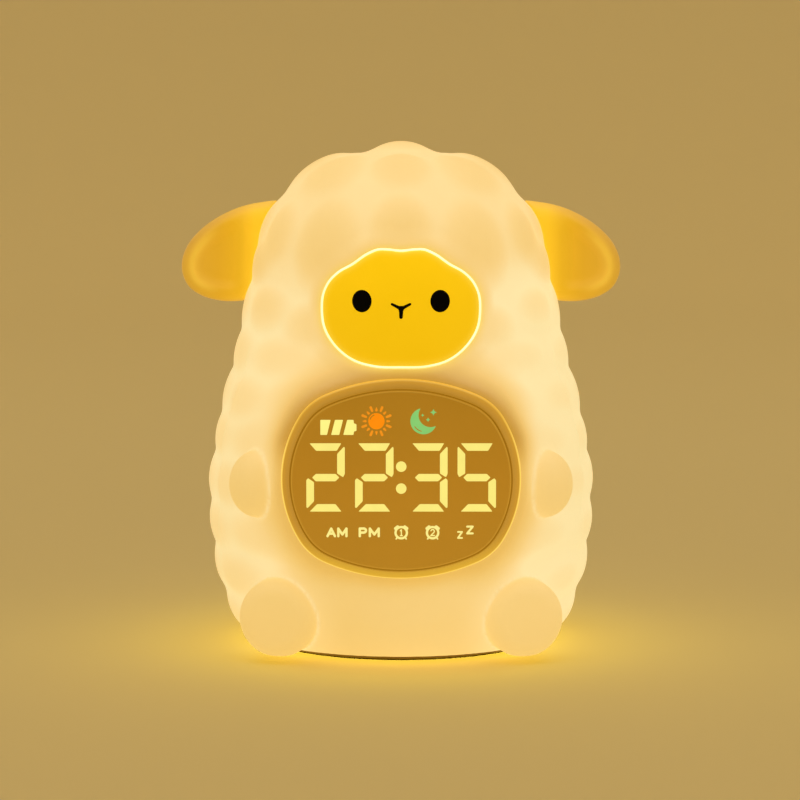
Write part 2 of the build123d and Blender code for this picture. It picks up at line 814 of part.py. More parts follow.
speaker_seat = tray_bottom + tray_plate
with BuildPart() as speaker_frame:
    with BuildSketch(Plane.XY.offset(speaker_seat)):
        with Locations(speaker_xy):
            Circle(speaker_radius)
            Circle(speaker_radius - 1.4, mode=Mode.SUBTRACT)
    extrude(amount=3.2)
    with BuildSketch(Plane.XY.offset(speaker_seat + 3.2)):
        with Locations(speaker_xy):
            Circle(speaker_radius)
            Circle(6.6, mode=Mode.SUBTRACT)
    extrude(amount=0.8)
    with BuildSketch(Plane.XY.offset(speaker_seat + 3.2)):
        with Locations(speaker_xy):
            with PolarLocations(10.0, 6):
                Circle(1.6)
    extrude(amount=0.8, mode=Mode.SUBTRACT)
speaker_frame.part.label = "speaker_frame"
export_step(speaker_frame.part, "parts/speaker_frame.step")

with BuildPart() as speaker_cone:
    with BuildSketch(Plane((speaker_xy[0], speaker_xy[1], speaker_seat), x_dir=(1, 0, 0), z_dir=(0, -1, 0))):
        with BuildLine():
            Polyline(
                (0, 1.6),
                (3.2, 1.4),
                (4.2, 2.3),
                (9.6, 0.9),
                (12.5, 0.9),
                (12.5, 1.25),
                (9.7, 1.25),
                (4.4, 2.7),
                (4.4, 4.4),
                (4.0, 4.4),
                (4.0, 2.7),
                (3.1, 1.8),
                (0, 2.0),
                close=True,
            )
        make_face()
    revolve(axis=Axis((speaker_xy[0], speaker_xy[1], 0), (0, 0, 1)))
speaker_cone.part.label = "speaker_cone"
export_step(speaker_cone.part, "parts/speaker_cone.step")

with BuildPart() as speaker_magnet:
    with BuildSketch(Plane.XY.offset(speaker_seat + 2.6)):
        with Locations(speaker_xy):
            Circle(6.5)
            Circle(5.2, mode=Mode.SUBTRACT)
    extrude(amount=3.4)
    with BuildSketch(Plane.XY.offset(speaker_seat + 5.0)):
        with Locations(speaker_xy):
            Circle(6.5)
    extrude(amount=1.0)
    with BuildSketch(Plane.XY.offset(speaker_seat + 3.2)):
        with Locations(speaker_xy):
            Circle(3.5)
    extrude(amount=1.8)
speaker_magnet.part.label = "speaker_magnet"
export_step(speaker_magnet.part, "parts/speaker_magnet.step")

# ---------------------------------------------------------------- lamp
with BuildPart() as light_tray:
    with BuildSketch(Plane.XY.offset(light_tray_z)):
        Circle(light_tray_radius)
        with Locations(*dome_boss_xy):
            Circle(4.2, mode=Mode.SUBTRACT)
        with Locations(*tray_post_xy):
            Circle(1.1, mode=Mode.SUBTRACT)
        with Locations(*wire_hole_xy):
            Circle(3.0, mode=Mode.SUBTRACT)
    extrude(amount=light_tray_thick)
    with BuildSketch(Plane.XY.offset(light_tray_z + light_tray_thick)):
        with PolarLocations(20.6, 4, 45):
            Circle(2.0)
    extrude(amount=lamp_board_gap)
    with BuildSketch(Plane.XY.offset(light_tray_z + light_tray_thick + lamp_board_gap)):
        with PolarLocations(20.6, 4, 45):
            Circle(0.9)
    extrude(amount=-(light_tray_thick + lamp_board_gap), mode=Mode.SUBTRACT)
light_tray.part.label = "light_tray"
export_step(light_tray.part, "parts/light_tray.step")

with BuildPart() as light_tray_screws:
    with BuildSketch(Plane.XY.offset(light_tray_z + light_tray_thick)):
        with Locations(*tray_post_xy):
            Circle(1.9)
    extrude(amount=1.3)
    with BuildSketch(Plane.XY.offset(light_tray_z + light_tray_thick)):
        with Locations(*tray_post_xy):
            Circle(0.88)
    extrude(amount=-7.0)
    with BuildSketch(Plane.XY.offset(light_tray_z + light_tray_thick + 1.3)):
        with Locations(*tray_post_xy):
            Rectangle(2.4, 0.5)
            Rectangle(0.5, 2.4)
    extrude(amount=-0.7, mode=Mode.SUBTRACT)
light_tray_screws.part.label = "light_tray_screws"
export_step(light_tray_screws.part, "parts/light_tray_screws.step")

lamp_board_z = light_tray_z + light_tray_thick + lamp_board_gap
with BuildPart() as lamp_board:
    with BuildSketch(Plane.XY.offset(lamp_board_z)):
        Circle(lamp_board_radius)
        with PolarLocations(20.6, 4, 45):
            Circle(1.1, mode=Mode.SUBTRACT)
    extrude(amount=lamp_board_thick)
lamp_board.part.label = "lamp_board"
export_step(lamp_board.part, "parts/lamp_board.step")

with BuildPart() as lamp_leds:
    with BuildSketch(Plane.XY.offset(lamp_board_z + lamp_board_thick)):
        with PolarLocations(16.4, 12, 15):
            RectangleRounded(3.5, 2.8, 0.3)
        with PolarLocations(8.5, 6):
            RectangleRounded(3.5, 2.8, 0.3)
    extrude(amount=0.9)
lamp_leds.part.label = "lamp_leds"
export_step(lamp_leds.part, "parts/lamp_leds.step")

with BuildPart() as lamp_screws:
    with BuildSketch(Plane.XY.offset(lamp_board_z + lamp_board_thick)):
        with PolarLocations(20.6, 4, 45):
            Circle(1.9)
    extrude(amount=1.2)
    with BuildSketch(Plane.XY.offset(lamp_board_z + lamp_board_thick)):
        with PolarLocations(20.6, 4, 45):
            Circle(0.88)
    extrude(amount=-3.8)
    with BuildSketch(Plane.XY.offset(lamp_board_z + lamp_board_thick + 1.2)):
        with PolarLocations(20.6, 4, 45):
            Rectangle(2.4, 0.5)
            Rectangle(0.5, 2.4)
    extrude(amount=-0.7, mode=Mode.SUBTRACT)
lamp_screws.part.label = "lamp_screws"
export_step(lamp_screws.part, "parts/lamp_screws.step")

# ---------------------------------------------------------------- rear panel
with BuildPart() as control_panel:
    with BuildSketch(xz(panel_face)):
        with BuildLine():
            for arc in oval(panel_half, panel_z):
                ThreePointArc(*arc)
        make_face()
    extrude(amount=panel_face - panel_flange_back)
    chamfer(control_panel.edges().group_by(Axis.Y)[-1], 0.6)
    with BuildSketch(xz(panel_flange_back)):
        with BuildLine():
            for arc in oval(panel_tube_half, panel_z):
                ThreePointArc(*arc)
        make_face()
    extrude(amount=panel_flange_back - panel_tube_end)
    with BuildSketch(xz(panel_plate_back)):
        with BuildLine():
            for arc in oval(panel_bore_half, panel_z):
                ThreePointArc(*arc)
        make_face()
    extrude(amount=20, mode=Mode.SUBTRACT)
    # bosses that carry the main board
    with BuildSketch(xz(panel_plate_back)):
        with Locations(*panel_boss_xz):
            Circle(2.1)
    extrude(amount=panel_plate_back - pcb_face)
    with BuildSketch(xz(pcb_face)):
        with Locations(*panel_boss_xz):
            Circle(0.9)
    extrude(amount=-5.0, mode=Mode.SUBTRACT)
    # button holes, switch slot and the charging socket's opening
    with BuildSketch(xz(panel_face + 1)):
        with Locations(*button_places.values()):
            Circle(button_radius + button_gap)
        with Locations((switch_x + switch_travel / 2, switch_z)):
            Rectangle(3.2 + switch_travel + 0.6, 3.0)
        with Locations((usb_x, usb_z)):
            SlotOverall(9.5, 3.8)
    extrude(amount=4, mode=Mode.SUBTRACT)
    # shallow finger dish round the switch
    with BuildSketch(xz(panel_face)):
        with Locations((switch_x + switch_travel / 2, switch_z)):
            RectangleRounded(9.4, 5.0, 1.2)
    extrude(amount=0.7, mode=Mode.SUBTRACT)
control_panel.part.label = "control_panel"
export_step(control_panel.part, "parts/control_panel.step")

with BuildPart() as main_pcb:
    with BuildSketch(xz(pcb_face)):
        with BuildLine():
            for arc in oval(pcb_half, panel_z):
                ThreePointArc(*arc)
        make_face()
        with Locations(*panel_boss_xz):
            Circle(1.1, mode=Mode.SUBTRACT)
    extrude(amount=pcb_thick)
main_pcb.part.label = "main_pcb"
export_step(main_pcb.part, "parts/main_pcb.step")

pcb_rear = pcb_face - pcb_thick
with BuildPart() as main_pcb_screws:
    with BuildSketch(xz(pcb_rear)):
        with Locations(*panel_boss_xz):
            Circle(1.9)
    extrude(amount=1.2)
    with BuildSketch(xz(pcb_rear)):
        with Locations(*panel_boss_xz):
            Circle(0.88)
    extrude(amount=-6.0)
    with BuildSketch(xz(pcb_rear - 1.2)):
        with Locations(*panel_boss_xz):
            Rectangle(2.4, 0.5)
            Rectangle(0.5, 2.4)
    extrude(amount=-0.7, mode=Mode.SUBTRACT)
main_pcb_screws.part.label = "main_pcb_screws"
export_step(main_pcb_screws.part, "parts/main_pcb_screws.step")

with BuildPart() as tact_switch_bodies:
    with BuildSketch(xz(pcb_face + 3.3)):
        with Locations(*button_places.values()):
            RectangleRounded(6.0, 6.0, 0.4)
    extrude(amount=3.3)
    with BuildSketch(xz(pcb_face + 3.3)):
        with Locations(*button_places.values()):
            Circle(1.8)
    extrude(amount=2.1, mode=Mode.SUBTRACT)
tact_switch_bodies.part.label = "tact_switch_bodies"
export_step(tact_switch_bodies.part, "parts/tact_switch_bodies.step")

button_foot = pcb_face + 3.9
button_flange = pcb_face + 5.9
for name, (bx, bz) in button_places.items():
    with BuildPart() as button:
        with BuildSketch(xz(button_top)):
            with Locations((bx, bz)):
                Circle(button_radius)
        extrude(amount=button_top - button_flange)
        fillet(button.edges().group_by(Axis.Y)[-1], 0.5)
        with BuildSketch(xz(button_flange)):
            with Locations((bx, bz)):
                Circle(button_radius + 0.9)
        extrude(amount=0.9)
        with BuildSketch(xz(button_flange - 0.9)):
            with Locations((bx, bz)):
                Circle(1.5)
        extrude(amount=button_flange - 0.9 - button_foot)
    button.part.label = "button_" + name
    export_step(button.part, "parts/button_" + name + ".step")
    with BuildPart() as plunger:
        with BuildSketch(xz(button_foot)):
            with Locations((bx, bz)):
                Circle(1.5)
        extrude(amount=1.6)
    plunger.part.label = "plunger_" + name
    export_step(plunger.part, "parts/plunger_" + name + ".step")

with BuildPart() as power_switch_body:
    with BuildSketch(xz(pcb_face + 3.8)):
        with Locations((switch_x + switch_travel / 2, switch_z)):
            Rectangle(8.6, 4.0)
    extrude(amount=3.8)
    with BuildSketch(xz(pcb_face + 3.8)):
        with Locations((switch_x + switch_travel / 2, switch_z)):
            Rectangle(1.6 + switch_travel + 0.6, 2.0)
    extrude(amount=2.2, mode=Mode.SUBTRACT)
power_switch_body.part.label = "power_switch_body"
export_step(power_switch_body.part, "parts/power_switch_body.step")

with BuildPart() as power_switch_knob:
    with BuildSketch(xz(panel_face + 0.7)):
        with Locations((switch_x, switch_z)):
            Rectangle(3.2, 2.4)
    extrude(amount=panel_face + 0.7 - pcb_face - 4.2)
    with BuildSketch(xz(pcb_face + 4.2)):
        with Locations((switch_x, switch_z)):
            Rectangle(1.6, 1.4)
    extrude(amount=1.9)
    # finger grip ribs
    with BuildSketch(xz(panel_face + 0.7)):
        with Locations((switch_x - 0.8, switch_z), (switch_x, switch_z), (switch_x + 0.8, switch_z)):
            Rectangle(0.35, 2.4)
    extrude(amount=0.35, mode=Mode.SUBTRACT)
power_switch_knob.part.label = "power_switch_knob"
export_step(power_switch_knob.part, "parts/power_switch_knob.step")

with BuildPart() as usb_connector_shell:
    with BuildSketch(xz(panel_face - 0.8)):
        with Locations((usb_x, usb_z)):
            SlotOverall(8.94, 3.26)
    extrude(amount=panel_face - 0.8 - pcb_face)
    with BuildSketch(xz(panel_face - 0.8)):
        with Locations((usb_x, usb_z)):
            SlotOverall(8.34, 2.66)
    extrude(amount=6.2, mode=Mode.SUBTRACT)
usb_connector_shell.part.label = "usb_connector_shell"
export_step(usb_connector_shell.part, "parts/usb_connector_shell.step")

with BuildPart() as usb_tongue:
    with BuildSketch(xz(panel_face - 1.5)):
        with Locations((usb_x, usb_z)):
            Rectangle(6.7, 0.7)
    extrude(amount=5.5)
usb_tongue.part.label = "usb_tongue"
export_step(usb_tongue.part, "parts/usb_tongue.step")

with BuildPart() as main_chips:
    with BuildSketch(xz(pcb_rear)):
        with Locations((0.0, panel_z + 2.0)):
            Rectangle(9.0, 9.0)
        with Locations((-11.0, panel_z + 3.0)):
            Rectangle(5.0, 6.0)
    extrude(amount=1.5)
    with BuildSketch(xz(pcb_rear)):
        with Locations((9.0, panel_z + 6.0), (9.0, panel_z - 1.0)):
            Rectangle(3.2, 2.6)
    extrude(amount=1.0)
main_chips.part.label = "main_chips"
export_step(main_chips.part, "parts/main_chips.step")

with BuildPart() as tap_sensor:
    with BuildSketch(Plane.YZ.offset(-3.5)):
        with Locations((pcb_rear - 2.1, panel_z + 12.0)):
            Circle(2.1)
    extrude(amount=7.0)
    with BuildSketch(xz(pcb_rear)):
        with Locations((-2.5, panel_z + 12.0), (2.5, panel_z + 12.0)):
            Rectangle(0.8, 0.8)
    extrude(amount=1.0)
tap_sensor.part.label = "tap_sensor"
export_step(tap_sensor.part, "parts/tap_sensor.step")

# Wire plugs: three on the main board's inner face, one at the display, one on the lamp board.
connector_x = {"display": -9.6, "battery": -3.2, "speaker": 3.2, "lamp": 9.6}
connector_z = 37.5
with BuildPart() as wire_connectors:
    with BuildSketch(xz(pcb_rear)):
        with Locations(*[(x, connector_z) for x in connector_x.values()]):
            Rectangle(5.4, 5.0)
    extrude(amount=4.4)
    with BuildSketch(xz(neck_end + 3.1)):
        with Locations((-12.0, display_z - 15.0)):
            Rectangle(8.8, 4.8)
    extrude(amount=neck_end + 3.1 - board_back)
wire_connectors.part.label = "wire_connectors"
export_step(wire_connectors.part, "parts/wire_connectors.step")


def wire(points, radius, bend):
    """A tube along straight runs joined by arcs."""
    with BuildPart() as lead:
        with BuildLine() as route:
            FilletPolyline(*points, radius=bend)
        with BuildSketch(Plane(route.line @ 0, z_dir=route.line % 0)):
            Circle(radius)
        sweep()
    return lead.part


wire_y = pcb_rear - 2.2
plug_foot = connector_z - 2.5

with BuildPart() as battery_wires:
    for dx in (-0.9, 0.9):
        add(
            wire(
                [
                    (-17.0 + dx, 20.0, 8.0),
                    (-17.0 + dx, 22.6, 8.0),
                    (-12.5 + dx, 25.0, 12.0),
                    (-12.5 + dx, 25.0, 23.0),
                    (-3.2 + dx, wire_y, 29.0),
                    (-3.2 + dx, wire_y, plug_foot),
                ],
                0.6,
                1.3,
            )
        )
battery_wires.part.label = "battery_wires"
export_step(battery_wires.part, "parts/battery_wires.step")

with BuildPart() as speaker_wires:
    for dx in (-0.9, 0.9):
        add(
            wire(
                [
                    (18.0 + dx, 10.5, speaker_seat + 4.0),
                    (18.0 + dx, 10.5, speaker_seat + 7.0),
                    (12.5 + dx, 25.0, 13.0),
                    (12.5 + dx, 25.0, 23.0),
                    (3.2 + dx, wire_y, 29.0),
                    (3.2 + dx, wire_y, plug_foot),
                ],
                0.5,
                1.2,
            )
        )
speaker_wires.part.label = "speaker_wires"
export_step(speaker_wires.part, "parts/speaker_wires.step")

lamp_top = lamp_board_z + lamp_board_thick
with BuildPart() as lamp_wires:
    for dx in (-1.3, 0.0, 1.3):
        add(
            wire(
                [
                    (9.6 + dx, 18.2, lamp_top),
                    (9.6 + dx, 18.2, lamp_top + 4.0),
                    (9.6 + dx, wire_y, lamp_top + 8.0),
                    (9.6 + dx, wire_y, plug_foot),
                ],
                0.5,
                1.6,
            )
        )
lamp_wires.part.label = "lamp_wires"
export_step(lamp_wires.part, "parts/lamp_wires.step")

with BuildPart() as display_cable:
    add(
        wire(
            [
                (-12.0, neck_end + 3.1, display_z - 15.0),
                (-12.0, neck_end + 6.1, display_z - 15.0),
                (-22.0, -29.0, 27.0),
                (-30.5, -12.0, 23.0),
                (-30.5, 12.0, 23.0),
                (-20.0, 32.0, 25.5),
                (-9.6, wire_y, 31.0),
                (-9.6, wire_y, plug_foot),
            ],
            1.3,
            2.3,
        )
    )
display_cable.part.label = "display_cable"
export_step(display_cable.part, "parts/display_cable.step")
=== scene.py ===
import bpy
import bmesh
import math
import numpy as np
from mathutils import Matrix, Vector


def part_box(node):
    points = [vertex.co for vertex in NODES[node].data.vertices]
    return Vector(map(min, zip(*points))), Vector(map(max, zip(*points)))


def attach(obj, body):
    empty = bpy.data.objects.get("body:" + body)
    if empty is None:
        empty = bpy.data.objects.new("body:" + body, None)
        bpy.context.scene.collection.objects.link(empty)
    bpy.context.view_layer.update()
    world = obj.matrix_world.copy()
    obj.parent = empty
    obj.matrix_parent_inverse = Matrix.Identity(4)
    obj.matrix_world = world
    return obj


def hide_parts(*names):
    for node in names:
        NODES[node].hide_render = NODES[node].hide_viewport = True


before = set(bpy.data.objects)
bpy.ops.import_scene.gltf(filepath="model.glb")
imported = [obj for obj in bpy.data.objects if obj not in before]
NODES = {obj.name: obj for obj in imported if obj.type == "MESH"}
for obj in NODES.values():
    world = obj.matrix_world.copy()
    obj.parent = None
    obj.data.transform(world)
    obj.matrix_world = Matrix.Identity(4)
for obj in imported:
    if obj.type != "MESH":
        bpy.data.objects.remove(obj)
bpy.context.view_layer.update()  # metres; the shapes below are worked out in millimetres and scaled when a mesh is made
SCENE = bpy.context.scene
MM = 0.001
rng = np.random.default_rng(7)

# ------------------------------------------------------------------ sizes, as in the CAD model
FRONT_FLAT, REAR_FLAT = -53.7, 54.4
STATIONS = [(47.6, 1.8), (51.5, 7.8), (55.0, 16.5), (57.2, 28.0), (58.5, 42.0), (57.6, 54.5), (55.7, 66.5),
            (52.8, 78.0), (50.2, 89.0), (47.7, 100.0), (45.6, 111.0), (43.1, 121.5), (39.0, 130.8), (32.4, 139.2),
            (22.6, 145.6), (11.2, 149.1), (0.0, 150.0)]
DISPLAY_Z = 54.9
BEZEL = (34.2, 28.6)
WINDOW = (31.0, 26.0)
BEZEL_FRONT, WINDOW_FRONT, WINDOW_THICK = -56.5, -56.1, 1.5
TUBE, BORE, TUBE_END = (32.6, 27.0), (30.2, 25.2), -40.1
FACE_Z = 100.5
FACE_HALF = [(0.0, 19.6), (3.8, 20.0), (6.3, 20.0), (9.4, 18.7), (13.7, 15.6), (17.7, 13.2), (20.4, 10.4), (22.1, 6.6),
             (22.45, 2.2), (21.7, -3.0), (18.4, -8.4), (13.2, -12.3), (7.8, -13.8), (0.0, -14.1)]
EAR_OUTLINE = [(36.0, 131.9), (42.0, 131.6), (48.7, 130.1), (53.2, 128.2), (57.6, 125.6), (61.4, 122.4), (64.3, 118.8),
               (66.0, 114.6), (66.0, 110.2), (64.2, 106.3), (60.6, 103.6), (55.4, 102.0), (50.0, 101.7), (45.0, 102.3),
               (36.0, 105.0)]
PANEL_Z = 50.0


# ------------------------------------------------------------------ small maths helpers
def smin(a, b, k):
    h = np.clip(0.5 + 0.5 * (b - a) / k, 0.0, 1.0)
    return b + (a - b) * h - k * h * (1.0 - h)


def smax(a, b, k):
    return -smin(-a, -b, k)


def step(x, a, b):
    """0 at a and before it, 1 at b and after it, smooth between."""
    t = np.clip((x - a) / (b - a), 0.0, 1.0)
    return t * t * (3.0 - 2.0 * t)


def hermite(points, per=10, first=None, last=None):
    """A smooth line through points, with chord-length steps."""
    P = np.array(points, float)
    n = len(P)
    t = np.concatenate([[0.0], np.cumsum(np.linalg.norm(np.diff(P, axis=0), axis=1))])
    M = np.zeros_like(P)
    for i in range(1, n - 1):
        h0, h1 = t[i] - t[i - 1], t[i + 1] - t[i]
        M[i] = ((P[i] - P[i - 1]) / h0 * h1 + (P[i + 1] - P[i]) / h1 * h0) / (h0 + h1)
    M[0] = (P[1] - P[0]) / (t[1] - t[0]) if first is None else np.array(first, float) / np.linalg.norm(first)
    M[-1] = (P[-1] - P[-2]) / (t[-1] - t[-2]) if last is None else np.array(last, float) / np.linalg.norm(last)
    out = []
    for i in range(n - 1):
        h = t[i + 1] - t[i]
        for j in range(per):
            s = j / per
            out.append((2 * s**3 - 3 * s**2 + 1) * P[i] + (s**3 - 2 * s**2 + s) * h * M[i]
                       + (-2 * s**3 + 3 * s**2) * P[i + 1] + (s**3 - s**2) * h * M[i + 1])
    out.append(P[-1])
    return np.array(out)


def closed_curve(points, per=8):
    """A smooth closed line through points."""
    P = np.array(points, float)
    n = len(P)
    out = []
    for i in range(n):
        p0, p1, p2, p3 = P[i - 1], P[i], P[(i + 1) % n], P[(i + 2) % n]
        d01, d12, d23 = (max(np.linalg.norm(b - a), 1e-6) for a, b in ((p0, p1), (p1, p2), (p2, p3)))
        m1 = ((p1 - p0) / d01 * d12 + (p2 - p1) / d12 * d01) / (d01 + d12) * d12
        m2 = ((p2 - p1) / d12 * d23 + (p3 - p2) / d23 * d12) / (d12 + d23) * d12
        for j in range(per):
            s = j / per
            out.append((2 * s**3 - 3 * s**2 + 1) * p1 + (s**3 - 2 * s**2 + s) * m1
                       + (-2 * s**3 + 3 * s**2) * p2 + (s**3 - s**2) * m2)
    return np.array(out)


def even(P, n):
    """n evenly spaced points round a closed line."""
    Q = np.vstack([P, P[:1]])
    t = np.concatenate([[0.0], np.cumsum(np.linalg.norm(np.diff(Q, axis=0), axis=1))])
    s = np.linspace(0.0, t[-1], n, endpoint=False)
    return np.stack([np.interp(s, t, Q[:, k]) for k in range(Q.shape[1])], axis=1)


def oval(half, n=384):
    """The soft-cornered oval of the display and the rear panel, centred on 0, 0."""
    a, b = half
    px, pz = 0.7536 * a, 0.7536 * b
    nx, nz = b / math.hypot(a, b), a / math.hypot(a, b)
    r = 0.577 * b
    cx, cz = px - r * nx, pz - r * nz
    sr = (r * r - (cx - a) ** 2 - cz * cz) / (2 * (cx - a + r))
    tr = (r * r - (cz - b) ** 2 - cx * cx) / (2 * (cz - b + r))
    a0 = math.atan2(cz, cx - (a - sr))
    a1 = math.atan2(cz - (b - tr), cx)
    quarter = []
    for t in np.linspace(0, a0, 24, endpoint=False):
        quarter.append((a - sr + sr * math.cos(t), sr * math.sin(t)))
    for t in np.linspace(a0, a1, 32, endpoint=False):
        quarter.append((cx + r * math.cos(t), cz + r * math.sin(t)))
    for t in np.linspace(a1, math.pi / 2, 32, endpoint=False):
        quarter.append((tr * math.cos(t), b - tr + tr * math.sin(t)))
    q = np.array(quarter)
    q2 = np.array([(-x, z) for x, z in quarter[::-1]][:-1])
    top = np.vstack([q, [[0.0, b]], q2])
    low = np.array([(-x, -z) for x, z in top])
    return even(np.vstack([top, [[-a, 0.0]], low[1:]]), n)


def line_distance(P, X, Z, closed=True, chunk=60000):
    """Distance from the points X, Z to the line P, negative inside when it is closed, and the length along it of the nearest point."""
    A = P
    B = np.roll(P, -1, axis=0) if closed else P[1:]
    A = A if closed else P[:-1]
    L = np.concatenate([[0.0], np.cumsum(np.linalg.norm(B - A, axis=1))])
    E = B - A
    EE = np.maximum((E * E).sum(1), 1e-12)
    x, z = X.ravel(), Z.ravel()
    dist, along, inside = np.empty(x.size), np.empty(x.size), np.zeros(x.size, bool)
    for s in range(0, x.size, chunk):
        xs, zs = x[s:s + chunk, None], z[s:s + chunk, None]
        t = np.clip(((xs - A[:, 0]) * E[:, 0] + (zs - A[:, 1]) * E[:, 1]) / EE, 0, 1)
        d = (xs - A[:, 0] - t * E[:, 0]) ** 2 + (zs - A[:, 1] - t * E[:, 1]) ** 2
        k = d.argmin(1)
        r = np.arange(len(k))
        dist[s:s + chunk] = np.sqrt(d[r, k])
        along[s:s + chunk] = L[k] + t[r, k] * (L[k + 1] - L[k])
        if closed:
            up = (A[:, 1] > zs) != (B[:, 1] > zs)
            xi = A[:, 0] + (zs - A[:, 1]) * E[:, 0] / np.where(np.abs(E[:, 1]) < 1e-12, 1e-12, E[:, 1])
            inside[s:s + chunk] = ((up & (xs < xi)).sum(1) % 2).astype(bool)
    dist = np.where(inside, -dist, dist) if closed else dist
    return dist.reshape(X.shape), along.reshape(X.shape)


class Table:
    """A function of two numbers, read off a regular grid."""

    def __init__(self, x0, x1, z0, z1, h, values=None):
        self.x = np.arange(x0, x1 + h, h)
        self.z = np.arange(z0, z1 + h, h)
        self.h = h
        self.X, self.Z = np.meshgrid(self.x, self.z, indexing="ij")
        self.v = values

    def __call__(self, x, z):
        fx = np.clip((x - self.x[0]) / self.h, 0, len(self.x) - 1.001)
        fz = np.clip((z - self.z[0]) / self.h, 0, len(self.z) - 1.001)
        i, j = fx.astype(np.int32), fz.astype(np.int32)
        u, w = fx - i, fz - j
        v = self.v
        return (v[i, j] * (1 - u) * (1 - w) + v[i + 1, j] * u * (1 - w) + v[i, j + 1] * (1 - u) * w + v[i + 1, j + 1] * u * w)


# ------------------------------------------------------------------ the body's section
MERIDIAN = hermite(STATIONS, 12, first=(0.7, 1.0), last=(-1.0, 0.0))
ring_line = np.vstack([[[0.0, MERIDIAN[0, 1]]], MERIDIAN])
body_table = Table(-2.0, 66.0, -6.0, 156.0, 0.5)
body_table.v, _ = line_distance(ring_line, np.abs(body_table.X), body_table.Z, closed=True)
# the axis isn't a wall, so the distance inside is to the meridian or the bottom only
_open, _along = line_distance(MERIDIAN, np.abs(body_table.X), body_table.Z, closed=False)
body_table.v = np.where(body_table.v < 0, -np.minimum(_open, np.abs(body_table.Z - MERIDIAN[0, 1])), body_table.v)
along_table = Table(-2.0, 66.0, -6.0, 156.0, 0.5, _along)
side_table = Table(-2.0, 66.0, -6.0, 156.0, 0.5, np.where(body_table.v < 0, -_open, _open))
MER_LEN = float(np.linalg.norm(np.diff(MERIDIAN, axis=0), axis=1).sum())
mer_s = np.concatenate([[0.0], np.cumsum(np.linalg.norm(np.diff(MERIDIAN, axis=0), axis=1))])


def along_of_z(z):
    return float(np.interp(z, MERIDIAN[:, 1], mer_s))


def radius_at(z):
    return np.interp(z, MERIDIAN[:, 1], MERIDIAN[:, 0])


DISPLAY_OVAL = oval(BEZEL)
display_table = Table(0.0, 75.0, 0.0, 75.0, 0.5)
display_table.v, _ = line_distance(DISPLAY_OVAL, display_table.X, display_table.Z)


def display_distance(x, z):
    """Distance from the display ring's outline in the front view, negative inside it."""
    return display_table(np.abs(x), np.abs(z - DISPLAY_Z))


PANEL_OVAL = oval((25.2, 22.2))
panel_table = Table(0.0, 75.0, 0.0, 75.0, 0.5)
panel_table.v, _ = line_distance(PANEL_OVAL, panel_table.X, panel_table.Z)

_right = FACE_HALF
_left = [(-x, z) for x, z in reversed(_right[1:-1])]


def face_line(grow=0.0, per=10):
    pts = []
    for x, z in _right + _left:
        r = math.hypot(x, z - 2.9)
        pts.append((x * (r + grow) / r, FACE_Z + 2.55 + ((z - 2.9) * 0.955) * (r + grow) / r))
    return closed_curve(pts, per)


FACE_LINE = face_line(0.0, 8)
face_table = Table(0.0, 45.0, 70.0, 145.0, 0.4)
face_table.v, _ = line_distance(FACE_LINE, face_table.X, face_table.Z)


def face_distance(x, z):
    return face_table(np.abs(x), z)


# ------------------------------------------------------------------ wool
# One pillow per tuft: (angle from the front, length up the meridian, half height, half angle)
tufts = []
rows = [(128.3, 0), (114.8, 1), (101.3, 0), (88.2, 1), (75.6, 0), (63.4, 1), (50.2, 0), (36.6, 1), (22.4, 0), (8.6, 1)]
BROW = ((0.0, 130.0, 12.2, 14.6), (31.5, 123.5, 17.6, 17.2), (61.5, 126.0, 11.5, 14.0))
for z, odd in rows:
    for k in range(12):
        a = 30.0 * k + (15.0 if odd else 0.0)
        ja, jz = rng.uniform(-1.0, 1.0), rng.uniform(-0.5, 0.5)
        if k == 0 and not odd:
            ja = jz = 0.0
        near = min(k, 12 - k)
        if z > 125.0 and near < 3:  # round the face: a middle one, a tall one on each side of the brow, one outside that
            a, s, hs, ha = BROW[near]
            tufts.append((a if k < 6 else 360.0 - a, s, hs, ha))
        elif z > 125.0:  # the brow tufts are tall and stand close to the row under them
            tufts.append((a + ja, along_of_z(125.6) + jz, 9.6, 17.0))
        elif 110.0 < z < 120.0 and k in (0, 1, 10, 11):
            continue
        elif 95.0 < z < 110.0 and near == 1:
            tufts.append((35.0 if k < 6 else 325.0, 98.5, 8.0, 15.0))
        elif z > 95.0:
            tufts.append((a + ja, along_of_z(z) + jz, 8.0, 17.5))
        else:
            tufts.append((a + ja, along_of_z(z) + jz, 7.6, 19.0))
for k in range(8):
    a = 45.0 * k
    r, hs = {0: (26.5, 10.4), 1: (26.0, 11.0), 2: (26.0, 12.2)}[min(k % 4, 4 - k % 4)]
    s = float(np.interp(-r, -MERIDIAN[:, 0][MERIDIAN[:, 1] > 60], mer_s[MERIDIAN[:, 1] > 60]))
    if k in (0, 1, 7):
        a, s, hs = {0: (0.0, s + 1.4, 12.2), 1: (47.0, s - 2.2, 12.6), 7: (313.0, s - 2.2, 12.6)}[k]
    tufts.append((a, s, hs, 23.0 if k == 0 else 27.0))
APEX_REACH = 9.6

wool_table = Table(-181.0, 181.0, 0.0, MER_LEN + 1.0, 1.0)


def wool_height(angle, along):
    """1 on the top of a tuft, towards 0 in the grooves between tufts."""
    K = 5.5
    total = np.zeros_like(angle)
    r_here = np.interp(along, mer_s, MERIDIAN[:, 0])
    for a, s, hs, ha in tufts:
        da = (angle - a + 180.0) % 360.0 - 180.0
        d = ((along - s) / hs) ** 2 + (da / ha) ** 2 * np.clip(r_here / 18.0, 0.0, 1.0)
        total += np.exp(K * (1.0 - d))
    d = (MER_LEN - along) / APEX_REACH
    total += np.exp(K * (1.0 - d * d))
    return smax(np.minimum(np.log(total) / K, 1.15), 0.0 * along, 0.45)


wool_table.v = wool_height(wool_table.X, wool_table.Z)
WOOL_DEPTH = 1.45


